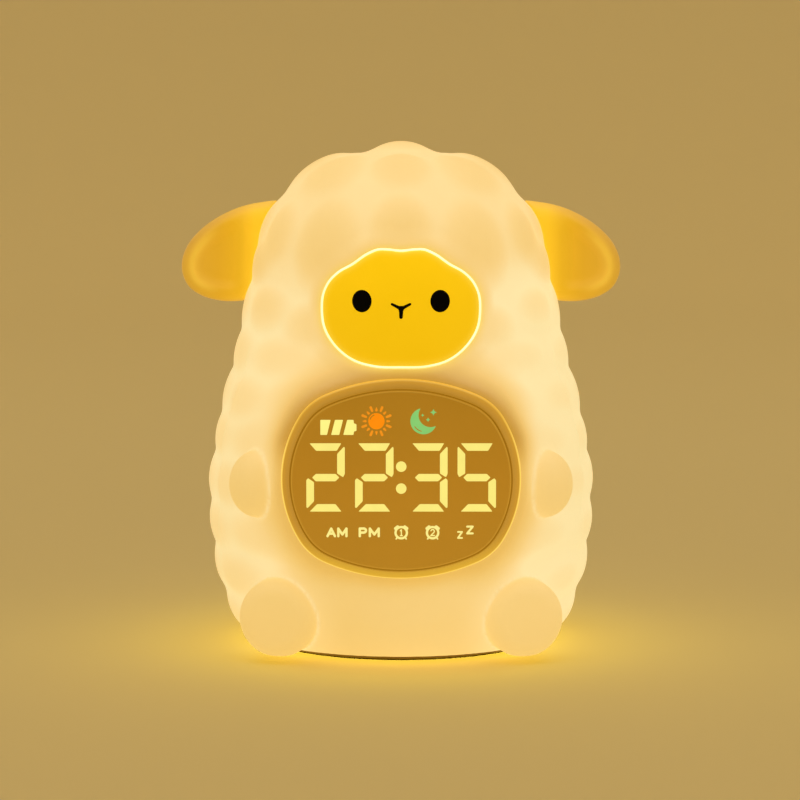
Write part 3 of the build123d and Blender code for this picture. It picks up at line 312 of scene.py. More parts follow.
def depth_at(r):
    """The grooves are deeper round the top of the crown."""
    return WOOL_DEPTH + 1.0 * (1.0 - step(r, 12.0, 24.0))



def wool_mask(x, y, z):
    """1 where the body is woolly, 0 where it is smooth: round the display, the face, the belly and the rear panel."""
    front = step(-y, -6.0, 12.0)
    m = 1.0 - front * (1.0 - step(display_distance(x, z), 3.0, 13.0))
    m = np.minimum(m, 1.0 - front * (1.0 - step(face_distance(x, z), 1.0, 5.0)))
    belly = np.maximum(np.abs(x) - 31.0, z - 28.0)
    m = np.minimum(m, 1.0 - front * (1.0 - step(belly, -3.0, 6.0)))
    chin = np.maximum(np.abs(x) - 20.0, np.abs(z - 84.0) - 3.5)
    m = np.minimum(m, 1.0 - front * (1.0 - step(chin, -2.0, 7.0)))
    back = step(y, 20.0, 40.0)
    m = np.minimum(m, 1.0 - back * (1.0 - step(panel_table(np.abs(x), np.abs(z - PANEL_Z)), 2.0, 9.0)))
    return m


def wool(x, y, z):
    angle = np.degrees(np.arctan2(x, -y))
    along = along_table(np.hypot(x, y), z)
    m = wool_mask(x, y, z)
    h = wool_table(angle, along)
    return h * m + 0.8 * (1.0 - m)


# ------------------------------------------------------------------ the skin's outside
def ellipsoid(x, y, z, c, r):
    px, py, pz = x - c[0], y - c[1], z - c[2]
    k0 = np.sqrt((px / r[0]) ** 2 + (py / r[1]) ** 2 + (pz / r[2]) ** 2)
    k1 = np.sqrt((px / r[0] ** 2) ** 2 + (py / r[1] ** 2) ** 2 + (pz / r[2] ** 2) ** 2)
    return k0 * (k0 - 1.0) / np.maximum(k1, 1e-6)


def arms(x, y, z):
    ax = np.abs(x)
    d = ellipsoid(ax, y, z, (41.4, -42.3, 51.9), (8.3, 8.3, 9.8))
    return smax(d, 36.85 + 0.012 * (z - 51.9) ** 2 - ax, 2.2)


FOOT_C, FOOT_R, FOOT_YAW, FOOT_REACH = (34.4, -41.0, 13.2), 11.5, math.radians(14.0), 10.0


def feet(x, y, z):
    ax = np.abs(x)
    dx, dy, dz = ax - FOOT_C[0], y - FOOT_C[1], z - FOOT_C[2]
    u = dx * math.sin(FOOT_YAW) - dy * math.cos(FOOT_YAW)
    v = dx * math.cos(FOOT_YAW) + dy * math.sin(FOOT_YAW)
    rho = np.hypot(v, dz)
    # a soft puck with a crowned front
    crown = FOOT_REACH - 0.9 * (rho / FOOT_R) ** 2
    r = 4.6
    qx, qy = rho - (FOOT_R - r), u - (crown - r)
    d = np.hypot(np.maximum(qx, 0), np.maximum(qy, 0)) + np.minimum(np.maximum(qx, qy), 0.0) - r
    return np.maximum(d, -u - 14.0)


def body_only(x, y, z, inset=0.0, woolly=True):
    forward = 1.2 * (1.0 - step(face_distance(x, z), 0.8, 7.0)) * step(-y, -5.0, 10.0)
    r = np.hypot(x, y + forward)
    d = side_table(r, z) + inset
    if woolly:
        return d + np.where(z > 120.0, depth_at(r), WOOL_DEPTH) * (1.0 - np.minimum(wool(x, y, z), 1.0))
    d = np.maximum(d, FRONT_FLAT + inset - y)
    return np.maximum(d, y - (REAR_FLAT - inset))


def collar(x, y, z):
    slope = 0.5774
    d = (display_distance(x, z) - 1.4 - (y - FRONT_FLAT) * slope) / math.hypot(1.0, slope)
    return np.maximum(d, y + 25.0)


def rear_collar(x, y, z):
    slope = 0.6
    d = (panel_table(np.abs(x), np.abs(z - PANEL_Z)) - (REAR_FLAT - y) * slope) / math.hypot(1.0, slope)
    return np.maximum(d, 36.0 - y)


def trunk(x, y, z):
    d = body_only(x, y, z)
    d = smin(d, collar(x, y, z), 5.0)
    d = smin(d, rear_collar(x, y, z), 3.0)
    d = smax(d, FRONT_FLAT - y, 1.6)
    return smax(d, y - REAR_FLAT, 1.6)


def outside(x, y, z):
    d = trunk(x, y, z)
    d = smin(d, arms(x, y, z), 1.1)
    d = smin(d, feet(x, y, z), 1.1)
    return smax(d, 1.8 - z, 1.0)


def cavity(x, y, z):
    d = body_only(x, y, z, inset=2.5, woolly=False)
    slope = 0.576
    c = (display_distance(x, z) - 0.8 - (y - FRONT_FLAT - 2.4) * slope) / math.hypot(1.0, slope)
    c = np.maximum(np.maximum(c, FRONT_FLAT + 2.4 - y), y + 28.0)
    d = np.minimum(d, c)
    f = feet(x, y, z) + 2.6
    f = np.maximum(f, y + 33.0)
    d = np.minimum(d, f)
    return np.maximum(d, 5.6 - z)


# ------------------------------------------------------------------ surfaces from distance functions
def surface(func, low, high, h, relax=2):
    """Even quads on the zero surface of func, in millimetres."""
    xs, ys, zs = (np.arange(a, b + h, h) for a, b in zip(low, high))
    F = np.empty((len(xs), len(ys), len(zs)), np.float32)
    Y, Z = np.meshgrid(ys, zs, indexing="ij")
    for i in range(0, len(xs), 8):
        part = xs[i:i + 8]
        X3 = np.repeat(part[:, None, None], len(ys), 1).repeat(len(zs), 2)
        F[i:i + 8] = func(X3, np.broadcast_to(Y, X3.shape), np.broadcast_to(Z, X3.shape))
    S = F < 0
    nx, ny, nz = (n - 1 for n in F.shape)
    count = np.zeros((nx, ny, nz), np.int8)
    for a in (0, 1):
        for b in (0, 1):
            for c in (0, 1):
                count += S[a:a + nx, b:b + ny, c:c + nz]
    active = (count > 0) & (count < 8)
    index = np.full(active.shape, -1, np.int64)
    I, J, K = np.nonzero(active)
    index[I, J, K] = np.arange(len(I))
    total, hits = np.zeros((len(I), 3)), np.zeros(len(I))
    corners = [(a, b, c) for a in (0, 1) for b in (0, 1) for c in (0, 1)]
    for p in corners:
        for ax in range(3):
            if p[ax]:
                continue
            q = list(p)
            q[ax] = 1
            f0, f1 = F[I + p[0], J + p[1], K + p[2]], F[I + q[0], J + q[1], K + q[2]]
            cut = (f0 < 0) != (f1 < 0)
            t = np.where(cut, f0 / np.where(cut, f0 - f1, 1.0), 0.0)
            for k in range(3):
                total[:, k] += np.where(cut, p[k] + (t if k == ax else 0.0), 0.0)
            hits += cut
    V = total / hits[:, None]
    V = np.stack([xs[0] + h * (I + V[:, 0]), ys[0] + h * (J + V[:, 1]), zs[0] + h * (K + V[:, 2])], axis=1)
    quads = []
    for ax in range(3):
        o = [(0, 1), (1, 2), (0, 2)][0]
        a, b = [k for k in range(3) if k != ax]
        s0 = [slice(1, -1)] * 3
        s1 = [slice(1, -1)] * 3
        s0[ax], s1[ax] = slice(0, -1), slice(1, None)
        A, B = S[tuple(s0)], S[tuple(s1)]
        E = np.array(np.nonzero(A != B)).T
        inside_first = A[A != B]
        base = E.copy()
        base[:, a] += 1
        base[:, b] += 1
        cells = []
        for da, db in ((-1, -1), (0, -1), (0, 0), (-1, 0)):
            c = base.copy()
            c[:, a] += da
            c[:, b] += db
            cells.append(index[c[:, 0], c[:, 1], c[:, 2]])
        Q = np.stack(cells, axis=1)
        flip = inside_first if ax != 1 else ~inside_first
        Q[~flip] = Q[~flip][:, ::-1]
        quads.append(Q)
    Q = np.vstack(quads)

    def settle(V, n):
        for _ in range(n):
            e = 0.2
            f = func(V[:, 0], V[:, 1], V[:, 2])
            g = np.stack([(func(V[:, 0] + e * (k == 0), V[:, 1] + e * (k == 1), V[:, 2] + e * (k == 2))
                           - func(V[:, 0] - e * (k == 0), V[:, 1] - e * (k == 1), V[:, 2] - e * (k == 2))) / (2 * e)
                          for k in range(3)], axis=1)
            gg = np.maximum((g * g).sum(1), 0.15)
            move = -(f / gg)[:, None] * g
            length = np.linalg.norm(move, axis=1)
            move *= np.minimum(1.0, 0.6 * h / np.maximum(length, 1e-9))[:, None]
            V = V + move
        return V, g / np.sqrt(np.maximum((g * g).sum(1), 1e-9))[:, None]

    V, N = settle(V, 2)
    for _ in range(relax):
        acc, cnt = np.zeros_like(V), np.zeros(len(V))
        for k in range(4):
            for o in (1, 3):
                np.add.at(acc, Q[:, k], V[Q[:, (k + o) % 4]])
                np.add.at(cnt, Q[:, k], 1)
        move = acc / cnt[:, None] - V
        move -= (move * N).sum(1)[:, None] * N
        V, N = settle(V + 0.6 * move, 1)
    return V, Q


def new_mesh(name, V, F):
    me = bpy.data.meshes.new(name)
    V = np.asarray(V, float) * MM
    F = [tuple(int(i) for i in f) for f in F] if not isinstance(F, np.ndarray) else F
    if isinstance(F, np.ndarray):
        n, w = F.shape
        me.vertices.add(len(V))
        me.vertices.foreach_set("co", V.ravel())
        me.loops.add(n * w)
        me.loops.foreach_set("vertex_index", F.ravel().astype(np.int32))
        me.polygons.add(n)
        me.polygons.foreach_set("loop_start", np.arange(0, n * w, w, dtype=np.int32))
        me.update(calc_edges=True)
    else:
        me.from_pydata([tuple(v) for v in V], [], F)
    me.validate()
    return me


def outward(me):
    bm = bmesh.new()
    bm.from_mesh(me)
    bmesh.ops.recalc_face_normals(bm, faces=bm.faces)
    bm.to_mesh(me)
    bm.free()


def piece(name, me, mat, stands_for=(), body="clock", sharp=None, smooth=True):
    ob = bpy.data.objects.new(name, me)
    SCENE.collection.objects.link(ob)
    me.materials.clear()
    me.materials.append(mat)
    if smooth:
        me.polygons.foreach_set("use_smooth", np.ones(len(me.polygons), bool))
        if sharp:
            me.set_sharp_from_angle(angle=math.radians(sharp))
    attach(ob, body)
    if stands_for:
        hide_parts(*stands_for)
    return ob


def temp(me):
    ob = bpy.data.objects.new("scratch", me)
    SCENE.collection.objects.link(ob)
    return ob


def drop(ob):
    me = ob.data
    bpy.data.objects.remove(ob)
    if me.users == 0:
        bpy.data.meshes.remove(me)


def boolean(me, others, operation="DIFFERENCE"):
    """me with the other meshes taken away from it or joined to it."""
    ob = temp(me)
    tools = [temp(m) for m in others]
    for t in tools:
        mod = ob.modifiers.new("cut", "BOOLEAN")
        mod.operation = operation
        mod.object = t
        mod.solver = "MANIFOLD"
    dg = bpy.context.evaluated_depsgraph_get()
    out = bpy.data.meshes.new_from_object(ob.evaluated_get(dg), depsgraph=dg)
    bpy.data.objects.remove(ob)
    for t in tools:
        drop(t)
    return out


def settle(me):
    """The mesh in triangles, with the diagonals turned that would lie on an edge that another pair of faces uses."""
    bm = bmesh.new()
    bm.from_mesh(me)
    bmesh.ops.triangulate(bm, faces=bm.faces[:])
    for _ in range(4):
        crowded = [e for e in bm.edges if len(e.link_faces) > 2]
        for e in crowded:
            if not e.is_valid or len(e.link_faces) < 3:
                continue
            a, b = e.verts
            along, against = [], []
            for f in e.link_faces:
                v = list(f.verts)
                (along if v[(v.index(a) + 1) % 3] == b else against).append(f)
            best, pair = None, None
            for f in along:
                for g in against:
                    c = next(v for v in f.verts if v not in (a, b))
                    d = next(v for v in g.verts if v not in (a, b))
                    flat = f.normal.dot(g.normal)
                    if c != d and (pair is None or flat > pair[0]):
                        pair = (flat, f, g, c, d)
                    if c == d or bm.edges.get((c, d)):
                        continue
                    n1 = (a.co - c.co).cross(d.co - c.co)
                    n2 = (b.co - d.co).cross(c.co - d.co)
                    if n1.dot(f.normal) > 0 and n2.dot(g.normal) > 0 and (best is None or flat > best[0]):
                        best = (flat, f, g, c, d)
            if best:
                _, f, g, c, d = best
                bm.faces.remove(f)
                bm.faces.remove(g)
                bm.faces.new((c, a, d)).normal_update()
                bm.faces.new((d, b, c)).normal_update()
            elif pair:  # no diagonal to turn, so this pair gets a corner of its own
                _, f, g, c, d = pair
                bm.faces.remove(f)
                bm.faces.remove(g)
                m = bm.verts.new((a.co + b.co) / 2 + (c.co + d.co - a.co - b.co) * 0.01)
                for corners in ((a, m, c), (m, b, c), (b, m, d), (m, a, d)):
                    bm.faces.new(corners).normal_update()
    taken = set()
    for v in bm.verts:  # corners of two sheets that lie in one place are moved a little apart, each into its own sheet
        key = tuple(round(c, 4) for c in v.co)
        if key in taken:
            near = [e.other_vert(v).co for e in v.link_edges]
            v.co = v.co * 0.95 + sum(near, Vector((0.0, 0.0, 0.0))) / len(near) * 0.05
        taken.add(key)
    bm.to_mesh(me)
    bm.free()
    return me


def prism(line, y0, y1):
    """A closed solid with the front-view outline line, from y0 back to y1."""
    n = len(line)
    V = [(x, y0, z) for x, z in line] + [(x, y1, z) for x, z in line]
    F = [tuple(range(n)), tuple(range(2 * n - 1, n - 1, -1))]
    F += [(i, n + i, n + (i + 1) % n, (i + 1) % n) for i in range(n)]
    me = new_mesh("prism", V, F)
    outward(me)
    return me


def lathe(profile, n=180, centre=(0.0, 0.0)):
    """A closed solid turned about a vertical axis from an open profile that starts and ends on it."""
    V, F = [], []
    rings = []
    for r, z in profile:
        if r < 1e-6:
            rings.append([len(V)])
            V.append((centre[0], centre[1], z))
        else:
            rings.append(list(range(len(V), len(V) + n)))
            V += [(centre[0] + r * math.cos(2 * math.pi * i / n), centre[1] + r * math.sin(2 * math.pi * i / n), z) for i in range(n)]
    for a, b in zip(rings, rings[1:]):
        for i in range(n):
            j = (i + 1) % n
            if len(a) == 1 and len(b) == 1:
                continue
            if len(a) == 1:
                F.append((a[0], b[i], b[j]))
            elif len(b) == 1:
                F.append((a[i], b[0], a[j]))
            else:
                F.append((a[i], b[i], b[j], a[j]))
    me = new_mesh("turned", V, F)
    outward(me)
    return me


def coords(me):
    co = np.empty(len(me.vertices) * 3)
    me.vertices.foreach_get("co", co)
    return co.reshape(-1, 3) / MM


def put(me, name, values):
    at = me.attributes.new(name, "FLOAT", "POINT")
    at.data.foreach_set("value", np.asarray(values, np.float32))


# ------------------------------------------------------------------ materials
def lin(r, g, b):
    """Linear colour of an 8-bit sRGB one."""
    out = []
    for c in (r, g, b):
        c /= 255.0
        out.append(c / 12.92 if c <= 0.04045 else ((c + 0.055) / 1.055) ** 2.4)
    return tuple(out)


def less(c, d):
    return tuple(max(a - b, 0.0) for a, b in zip(c, d))


class Nodes:
    """A Principled material and short ways to wire it."""

    def __init__(self, name):
        self.m = bpy.data.materials.new(name)
        self.m.use_nodes = True
        self.t = self.m.node_tree
        self.t.nodes.clear()
        self.out = self.t.nodes.new("ShaderNodeOutputMaterial")
        self.p = self.t.nodes.new("ShaderNodeBsdfPrincipled")
        self.t.links.new(self.p.outputs[0], self.out.inputs[0])
        self.co = self.t.nodes.new("ShaderNodeTexCoord")

    def set(self, **k):
        for a, v in k.items():
            s = self.p.inputs[a.replace("_", " ").replace("Specular IOR", "Specular IOR")]
            s.default_value = (*v, 1.0) if isinstance(v, tuple) and len(v) == 3 and s.type == "RGBA" else v
        return self

    def link(self, a, b):
        self.t.links.new(a, b)

    def to(self, sock, name):
        self.link(sock, self.p.inputs[name])

    def noise(self, scale, detail=3.0, rough=0.55, stretch=None, distortion=0.0):
        n = self.t.nodes.new("ShaderNodeTexNoise")
        n.inputs["Scale"].default_value = scale
        n.inputs["Detail"].default_value = detail
        n.inputs["Roughness"].default_value = rough
        n.inputs["Distortion"].default_value = distortion
        src = self.co.outputs["Object"]
        if stretch:
            mp = self.t.nodes.new("ShaderNodeMapping")
            mp.inputs["Scale"].default_value = stretch
            self.link(src, mp.inputs["Vector"])
            src = mp.outputs[0]
        self.link(src, n.inputs["Vector"])
        return n.outputs["Fac"]

    def cells(self, scale, feature="F1"):
        n = self.t.nodes.new("ShaderNodeTexVoronoi")
        n.feature = feature
        n.inputs["Scale"].default_value = scale
        self.link(self.co.outputs["Object"], n.inputs["Vector"])
        return n.outputs["Distance"]

    def attr(self, name):
        n = self.t.nodes.new("ShaderNodeAttribute")
        n.attribute_name = name
        return n.outputs["Fac"]

    def ramp(self, fac, stops, mode="LINEAR"):
        n = self.t.nodes.new("ShaderNodeValToRGB")
        cr = n.color_ramp
        cr.interpolation = mode
        while len(cr.elements) < len(stops):
            cr.elements.new(0.5)
        for e, (p, c) in zip(cr.elements, stops):
            e.position = p
            e.color = (*c, 1.0)
        self.link(fac, n.inputs[0])
        return n.outputs[0]

    def range(self, v, a, b, lo=0.0, hi=1.0):
        n = self.t.nodes.new("ShaderNodeMapRange")
        for i, x in zip((1, 2, 3, 4), (lo, hi, a, b)):
            n.inputs[i].default_value = x
        self.link(v, n.inputs[0])
        return n.outputs[0]

    def mix(self, fac, a, b, blend="MIX"):
        n = self.t.nodes.new("ShaderNodeMix")
        n.data_type = "RGBA"
        n.blend_type = blend
        ins = [s for s in n.inputs if s.type == "RGBA"]
        f = [s for s in n.inputs if s.type == "VALUE"][0]
        if isinstance(fac, float):
            f.default_value = fac
        else:
            self.link(fac, f)
        for s, c in ((ins[0], a), (ins[1], b)):
            if isinstance(c, tuple):
                s.default_value = (*c, 1.0)
            else:
                self.link(c, s)
        return [s for s in n.outputs if s.type == "RGBA"][0]

    def math(self, op, a, b=None):
        n = self.t.nodes.new("ShaderNodeMath")
        n.operation = op
        for i, v in enumerate((a, b)):
            if v is None:
                continue
            if isinstance(v, (int, float)):
                n.inputs[i].default_value = v
            else:
                self.link(v, n.inputs[i])
        return n.outputs[0]

    def bump(self, height, distance, strength=1.0, after=None):
        n = self.t.nodes.new("ShaderNodeBump")
        n.inputs["Strength"].default_value = strength
        n.inputs["Distance"].default_value = distance
        self.link(height, n.inputs["Height"])
        if after is not None:
            self.link(after, n.inputs["Normal"])
        self.link(n.outputs[0], self.p.inputs["Normal"])
        return n.outputs[0]


def plastic(name, colour, rough=0.45, grain=900.0, vary=0.06, bump=0.00002, spec=0.45, metal=0.0, glow=None,
            coat=0.0, stretch=None, patch=45.0):
    """Moulded plastic: slight colour drift, fine grain and a roughness that varies with it."""
    m = Nodes(name)
    dark = tuple(c * (1.0 - vary) for c in colour)
    light = tuple(min(c * (1.0 + vary), 1.0) for c in colour)
    big = m.noise(patch, 2.0)
    fine = m.noise(grain, 3.0, 0.6, stretch)
    m.to(m.mix(m.range(big, 0.0, 1.0, 0.3, 0.7), dark, light), "Base Color")
    m.to(m.range(fine, rough - 0.07, rough + 0.09, 0.3, 0.7), "Roughness")
    m.bump(fine, bump, 0.8)
    m.set(Metallic=metal)
    m.p.inputs["Specular IOR Level"].default_value = spec
    if coat:
        m.p.inputs["Coat Weight"].default_value = coat
        m.p.inputs["Coat Roughness"].default_value = 0.12
    if glow:
        lo = tuple(c * 0.95 for c in glow)
        hi = tuple(c * 1.05 for c in glow)
        m.to(m.mix(m.range(m.noise(30.0, 2.0), 0.0, 1.0, 0.3, 0.7), lo, hi), "Emission Color")
        m.p.inputs["Emission Strength"].default_value = 1.0
    return m.m


REFLECT = (0.185, 0.125, 0.060)  # what the studio light adds to the skin's own glow


def skin_material():
    m = Nodes("glowing_silicone")
    fine = m.noise(1100.0, 4.0, 0.65)
    soft = m.noise(22.0, 2.0)
    speck = m.noise(340.0, 2.0)
    stops = [(0.0, (197, 150, 72)), (0.10, (212, 163, 82)), (0.28, (228, 182, 98)), (0.45, (240, 196, 113)),
             (0.60, (245, 205, 126)), (0.72, (249, 211, 136)), (0.86, (253, 220, 152)), (1.0, (255, 231, 170))]
    light = m.math("ADD", m.attr("light"), m.math("ADD", m.range(soft, -0.02, 0.02, 0.3, 0.7), m.range(speck, -0.006, 0.006, 0.3, 0.7)))
    glow = m.ramp(light, [(p, less(lin(*c), REFLECT)) for p, c in stops])
    amber = m.mix(m.attr("face_glow"), glow, less(lin(253, 212, 92), REFLECT))
    m.to(amber, "Emission Color")
    m.p.inputs["Emission Strength"].default_value = 1.0
    m.to(m.mix(m.range(soft, 0.0, 1.0, 0.3, 0.7), (0.27, 0.225, 0.155), (0.31, 0.255, 0.175)), "Base Color")
    m.to(m.range(fine, 0.50, 0.66, 0.3, 0.7), "Roughness")
    m.p.inputs["Specular IOR Level"].default_value = 0.35
    m.p.inputs["Sheen Weight"].default_value = 0.12
    m.p.inputs["Sheen Roughness"].default_value = 0.5
    m.bump(fine, 0.00003, 0.7)
    return m.m


# ------------------------------------------------------------------ camera
cam = bpy.data.cameras.new("camera")
cam_ob = bpy.data.objects.new("camera", cam)
SCENE.collection.objects.link(cam_ob)
TILT, FAR = math.radians(5.7), 0.900
cam_ob.location = (0.0, -FAR * math.cos(TILT), 0.075 + FAR * math.sin(TILT))
cam_ob.rotation_euler = (math.pi / 2 - TILT, 0.0, 0.0)
cam.sensor_width = 36.0
cam.lens = 2974.0 / 800.0 * 36.0
cam.shift_x = -1.0 / 800.0
cam.shift_y = -10.4 / 800.0
cam.clip_start, cam.clip_end = 0.05, 20.0
SCENE.camera = cam_ob

# ------------------------------------------------------------------ skin
V, Q = surface(outside, (-61.03, -56.07, -1.11), (61.0, 57.0, 152.0), 0.96)
outer = new_mesh("outer", V, Q)
V, Q = surface(cavity, (-60.0, -54.0, 3.0), (60.0, 56.0, 150.0), 2.2, relax=1)
inner = new_mesh("inner", V, Q)
outward(outer)
outward(inner)


def rounded_box(cy, cz, ly, lz, r, x0, x1):
    line = []
    for sx, sz, a0 in ((1, 1, 0), (-1, 1, 90), (-1, -1, 180), (1, -1, 270)):
        for k in range(7):
            a = math.radians(a0 + 15 * k)
            line.append((cy + sx * (ly / 2 - r) + r * math.cos(a), cz + sz * (lz / 2 - r) + r * math.sin(a)))
    n = len(line)
    V = [(x0, y, z) for y, z in line] + [(x1, y, z) for y, z in line]
    F = [tuple(range(n)), tuple(range(2 * n - 1, n - 1, -1))] + [(i, n + i, n + (i + 1) % n, (i + 1) % n) for i in range(n)]
    me = new_mesh("neck", V, F)
    outward(me)
    return me


skin = settle(boolean(outer, [
    inner,
    prism([(x, z + DISPLAY_Z) for x, z in oval((32.8, 27.2), 192)], -62.0, -36.0),
    prism(even(face_line(0.75, 10), 224), -70.0, -25.0),
    prism([(x, z + PANEL_Z) for x, z in oval((23.0, 20.0), 192)], 34.0, 66.0),
    lathe([(0, -3.0), (45.5, -3.0), (45.5, 3.6), (41.5, 3.6), (41.5, 6.4), (0, 6.4)], 180),
    rounded_box(2.0, 116.0, 6.2, 11.2, 2.0, 30.0, 64.0),
    rounded_box(2.0, 116.0, 6.2, 11.2, 2.0, -64.0, -30.0),
]))
P = coords(skin)
x, y, z = P.T
ax = np.abs(x)
h = wool(x, y, z)
mask = wool_mask(x, y, z)
t_trunk, t_arm, t_foot = trunk(x, y, z), arms(x, y, z), feet(x, y, z)
side = np.maximum(ax, 40.0 * step(y, 0.0, 30.0))
# Painted light: the glow is brighter on the sides below the brow, and a touch brighter low on the belly.
light = 0.645 + 0.245 * step(side, 14.0, 36.0) * step(118.0 - z, 0.0, 24.0) + 0.01 * step(30.0 - z, 0.0, 12.0) * step(34.0 - ax, 0.0, 12.0) * (y < 0)
# Painted light: the grooves between tufts glow brighter than the tufts.
light = light + (0.25 - 0.07 * step(z, 112.0, 120.0)) * mask * np.clip((0.95 - h) / 0.80, 0.0, 1.0) ** 1.1 * (1.0 - 0.45 * step(side, 20.0, 38.0) * step(118.0 - z, 0.0, 35.0))
# Painted shade: the crown is darker.
light = light - 0.06 * step(z, 138.0, 150.0)
# Painted light: the right side glows a little brighter than the left.
light = light + 0.055 * np.clip(x / 38.0, -1.0, 1.0) * step(118.0 - z, -4.0, 10.0) * step(-y, -22.0, 14.0)
# Painted shade: darker round the upper edge of the face.
light = light - 0.10 * np.exp(-((np.maximum(face_distance(x, z), 0.0) / 5.5) ** 2)) * step(z, 106.0, 118.0) * (y < -20.0)
# Painted shadow: the skin is darker round the display ring, most above it, where the display module inside blocks the
# lamp's light.
d_ring = np.maximum(display_distance(x, z), 0.0)
dz = z - DISPLAY_Z
upper = step(dz, 1.0, 13.0)
low_side = step(ax, 12.0, 28.0) * (1.0 - upper)
width = 3.3 + 3.3 * low_side * step(-dz, 0.0, 12.0) + 1.2 * upper + 1.2 * step(dz, 12.0, 27.0)
power = 2.0 + 0.5 * upper * (1.0 - step(dz, 12.0, 25.0))
at_ring = 0.37 - 0.33 * upper
display_shadow = np.exp(-((d_ring / width) ** power)) * (y < -25.0)
light = light - np.maximum(light - at_ring, 0.0) * display_shadow
# Painted light: the arms and feet get their own flat glow levels, the right ones a little brighter.
limb = np.minimum(t_arm, t_foot)
on_limb = limb < t_trunk
light = np.where(on_limb, np.where(t_arm < t_foot, 0.635, 0.605 + 0.02 * step(z, 8.0, 22.0)) + 0.025 * np.sign(x), light)
# Painted light: a bright line along the creases where the arms and feet meet the body.
crease_glow = np.exp(-((np.abs(limb - t_trunk) / 0.75) ** 2)) * (np.abs(limb) < 3.0)
light = light + crease_glow * np.maximum(0.90 - light, 0.0)
glow = np.exp(-((np.maximum(face_distance(x, z), 0.0) / 1.7) ** 2)) * (y < -20.0) * 0.75
put(skin, "light", np.clip(light, 0.0, 1.0))
put(skin, "face_glow", glow)
M_SKIN = skin_material()
piece("wool_skin", skin, M_SKIN, ("silicone_skin",), sharp=50)


# ------------------------------------------------------------------ face
def face_depth(x, z, back=0.0):
    """Y of the face plate's front at x, z, moved back into the plate by back."""
    r = radius_at(z) - back
    return -np.sqrt(np.maximum(r * r - x * x, 1.0)) - 1.2


def plate(line, thick, edge, y_of, rings=22, lift=0.0):
    """A closed curved plate with the front-view outline line, a rounded front edge and an even thickness."""
    n = len(line)
    c = line.mean(0)
    L = np.roll(line, -1, 0) - np.roll(line, 1, 0)
    N = np.stack([L[:, 1], -L[:, 0]], 1)
    N /= np.linalg.norm(N, axis=1)[:, None]
    if ((line - c) * N).sum() > 0:
        N = -N  # points inward
    V, F, ringlist = [], [], []

    def add(points, drop_):
        start = len(V)
        for px, pz in points:
            V.append((px, float(y_of(px, pz)) + drop_, pz))
        ringlist.append(list(range(start, start + len(points))))

    add(line, thick)
    add(line, edge)
    for a in (30, 60, 90):
        t = math.radians(a)
        add(line + N * edge * (1 - math.cos(t)), edge * (1 - math.sin(t)) - lift * 0)
    base = line + N * edge
    for k in range(1, rings):
        s = 1.0 - k / rings
        add(c + (base - c) * s, -lift * (1 - s * s))
    for a, b in zip(ringlist, ringlist[1:]):
        for i in range(n):
            j = (i + 1) % n
            F.append((a[i], a[j], b[j], b[i]))
    mid = len(V)
    V.append((c[0], float(y_of(c[0], c[1])) - lift, c[1]))
    last = ringlist[-1]
    F += [(last[i], last[(i + 1) % n], mid) for i in range(n)]
    # back
    first = ringlist[0]
    prev = first
    for k in range(1, 8):
        s = 1.0 - k / 8
        start = len(V)
        for px, pz in c + (line - c) * s:
            V.append((px, float(y_of(px, pz)) + thick, pz))
        now = list(range(start, start + n))
        F += [(prev[i], now[i], now[(i + 1) % n], prev[(i + 1) % n]) for i in range(n)]
        prev = now
    back = len(V)
    V.append((c[0], float(y_of(c[0], c[1])) + thick, c[1]))
    F += [(prev[(i + 1) % n], prev[i], back) for i in range(n)]
    me = new_mesh("plate", V, F)
    outward(me)
    return me


face = plate(even(face_line(0.0, 10), 160), 2.0, 0.45, face_depth, rings=26)
P = coords(face)
# Painted light: the face glows brighter towards its top and along its edge.
put(face, "high", np.clip((P[:, 2] - (FACE_Z - 14.0)) / 34.0, 0.0, 1.0))
put(face, "rim", np.exp(-((np.maximum(-face_distance(P[:, 0], P[:, 2]), 0.0) / 1.0) ** 2)))
FR = (0.26, 0.155, 0.02)
m = Nodes("face_yellow")
m.to(m.mix(m.range(m.noise(60.0, 2.0), 0.0, 1.0, 0.3, 0.7), (0.46, 0.30, 0.006), (0.50, 0.33, 0.009)), "Base Color")
body_glow = m.ramp(m.attr("high"), [(0.0, less(lin(239, 189, 4), FR)), (0.5, less(lin(244, 194, 14), FR)), (1.0, less(lin(252, 201, 33), FR))])
m.to(m.mix(m.math("MULTIPLY", m.attr("rim"), 0.55), body_glow, less(lin(255, 214, 70), FR)), "Emission Color")
m.p.inputs["Emission Strength"].default_value = 1.0
grain = m.noise(1200.0, 3.0)
m.to(m.range(grain, 0.42, 0.55, 0.3, 0.7), "Roughness")
m.bump(grain, 0.00002, 0.7)
m.p.inputs["Specular IOR Level"].default_value = 0.22
piece("face", face, m.m, ("face_plate",), sharp=60)

# the clear ring round the face
ring_in, ring_out = even(face_line(0.06, 10), 320), even(face_line(0.60, 10), 320)
n = len(ring_in)
V, F = [], []
prof = [(0.0, 0.25), (0.18, 0.02), (0.5, -0.10), (0.82, 0.02), (1.0, 0.30), (1.0, 3.4), (0.0, 3.4)]
for s, back in prof:
    for (x0, z0), (x1, z1) in zip(ring_in, ring_out):
        px, pz = x0 + (x1 - x0) * s, z0 + (z1 - z0) * s
        V.append((px, float(face_depth(px, pz)) + 0.30 + back, pz))
k = len(prof)
for a in range(k):
    b = (a + 1) % k
    F += [(a * n + i, a * n + (i + 1) % n, b * n + (i + 1) % n, b * n + i) for i in range(n)]
rim = new_mesh("rim", V, F)
outward(rim)
m = Nodes("clear_light_ring")
m.to(m.mix(m.range(m.noise(120.0, 2.0), 0.0, 1.0, 0.3, 0.7), (0.55, 0.45, 0.25), (0.62, 0.50, 0.30)), "Base Color")
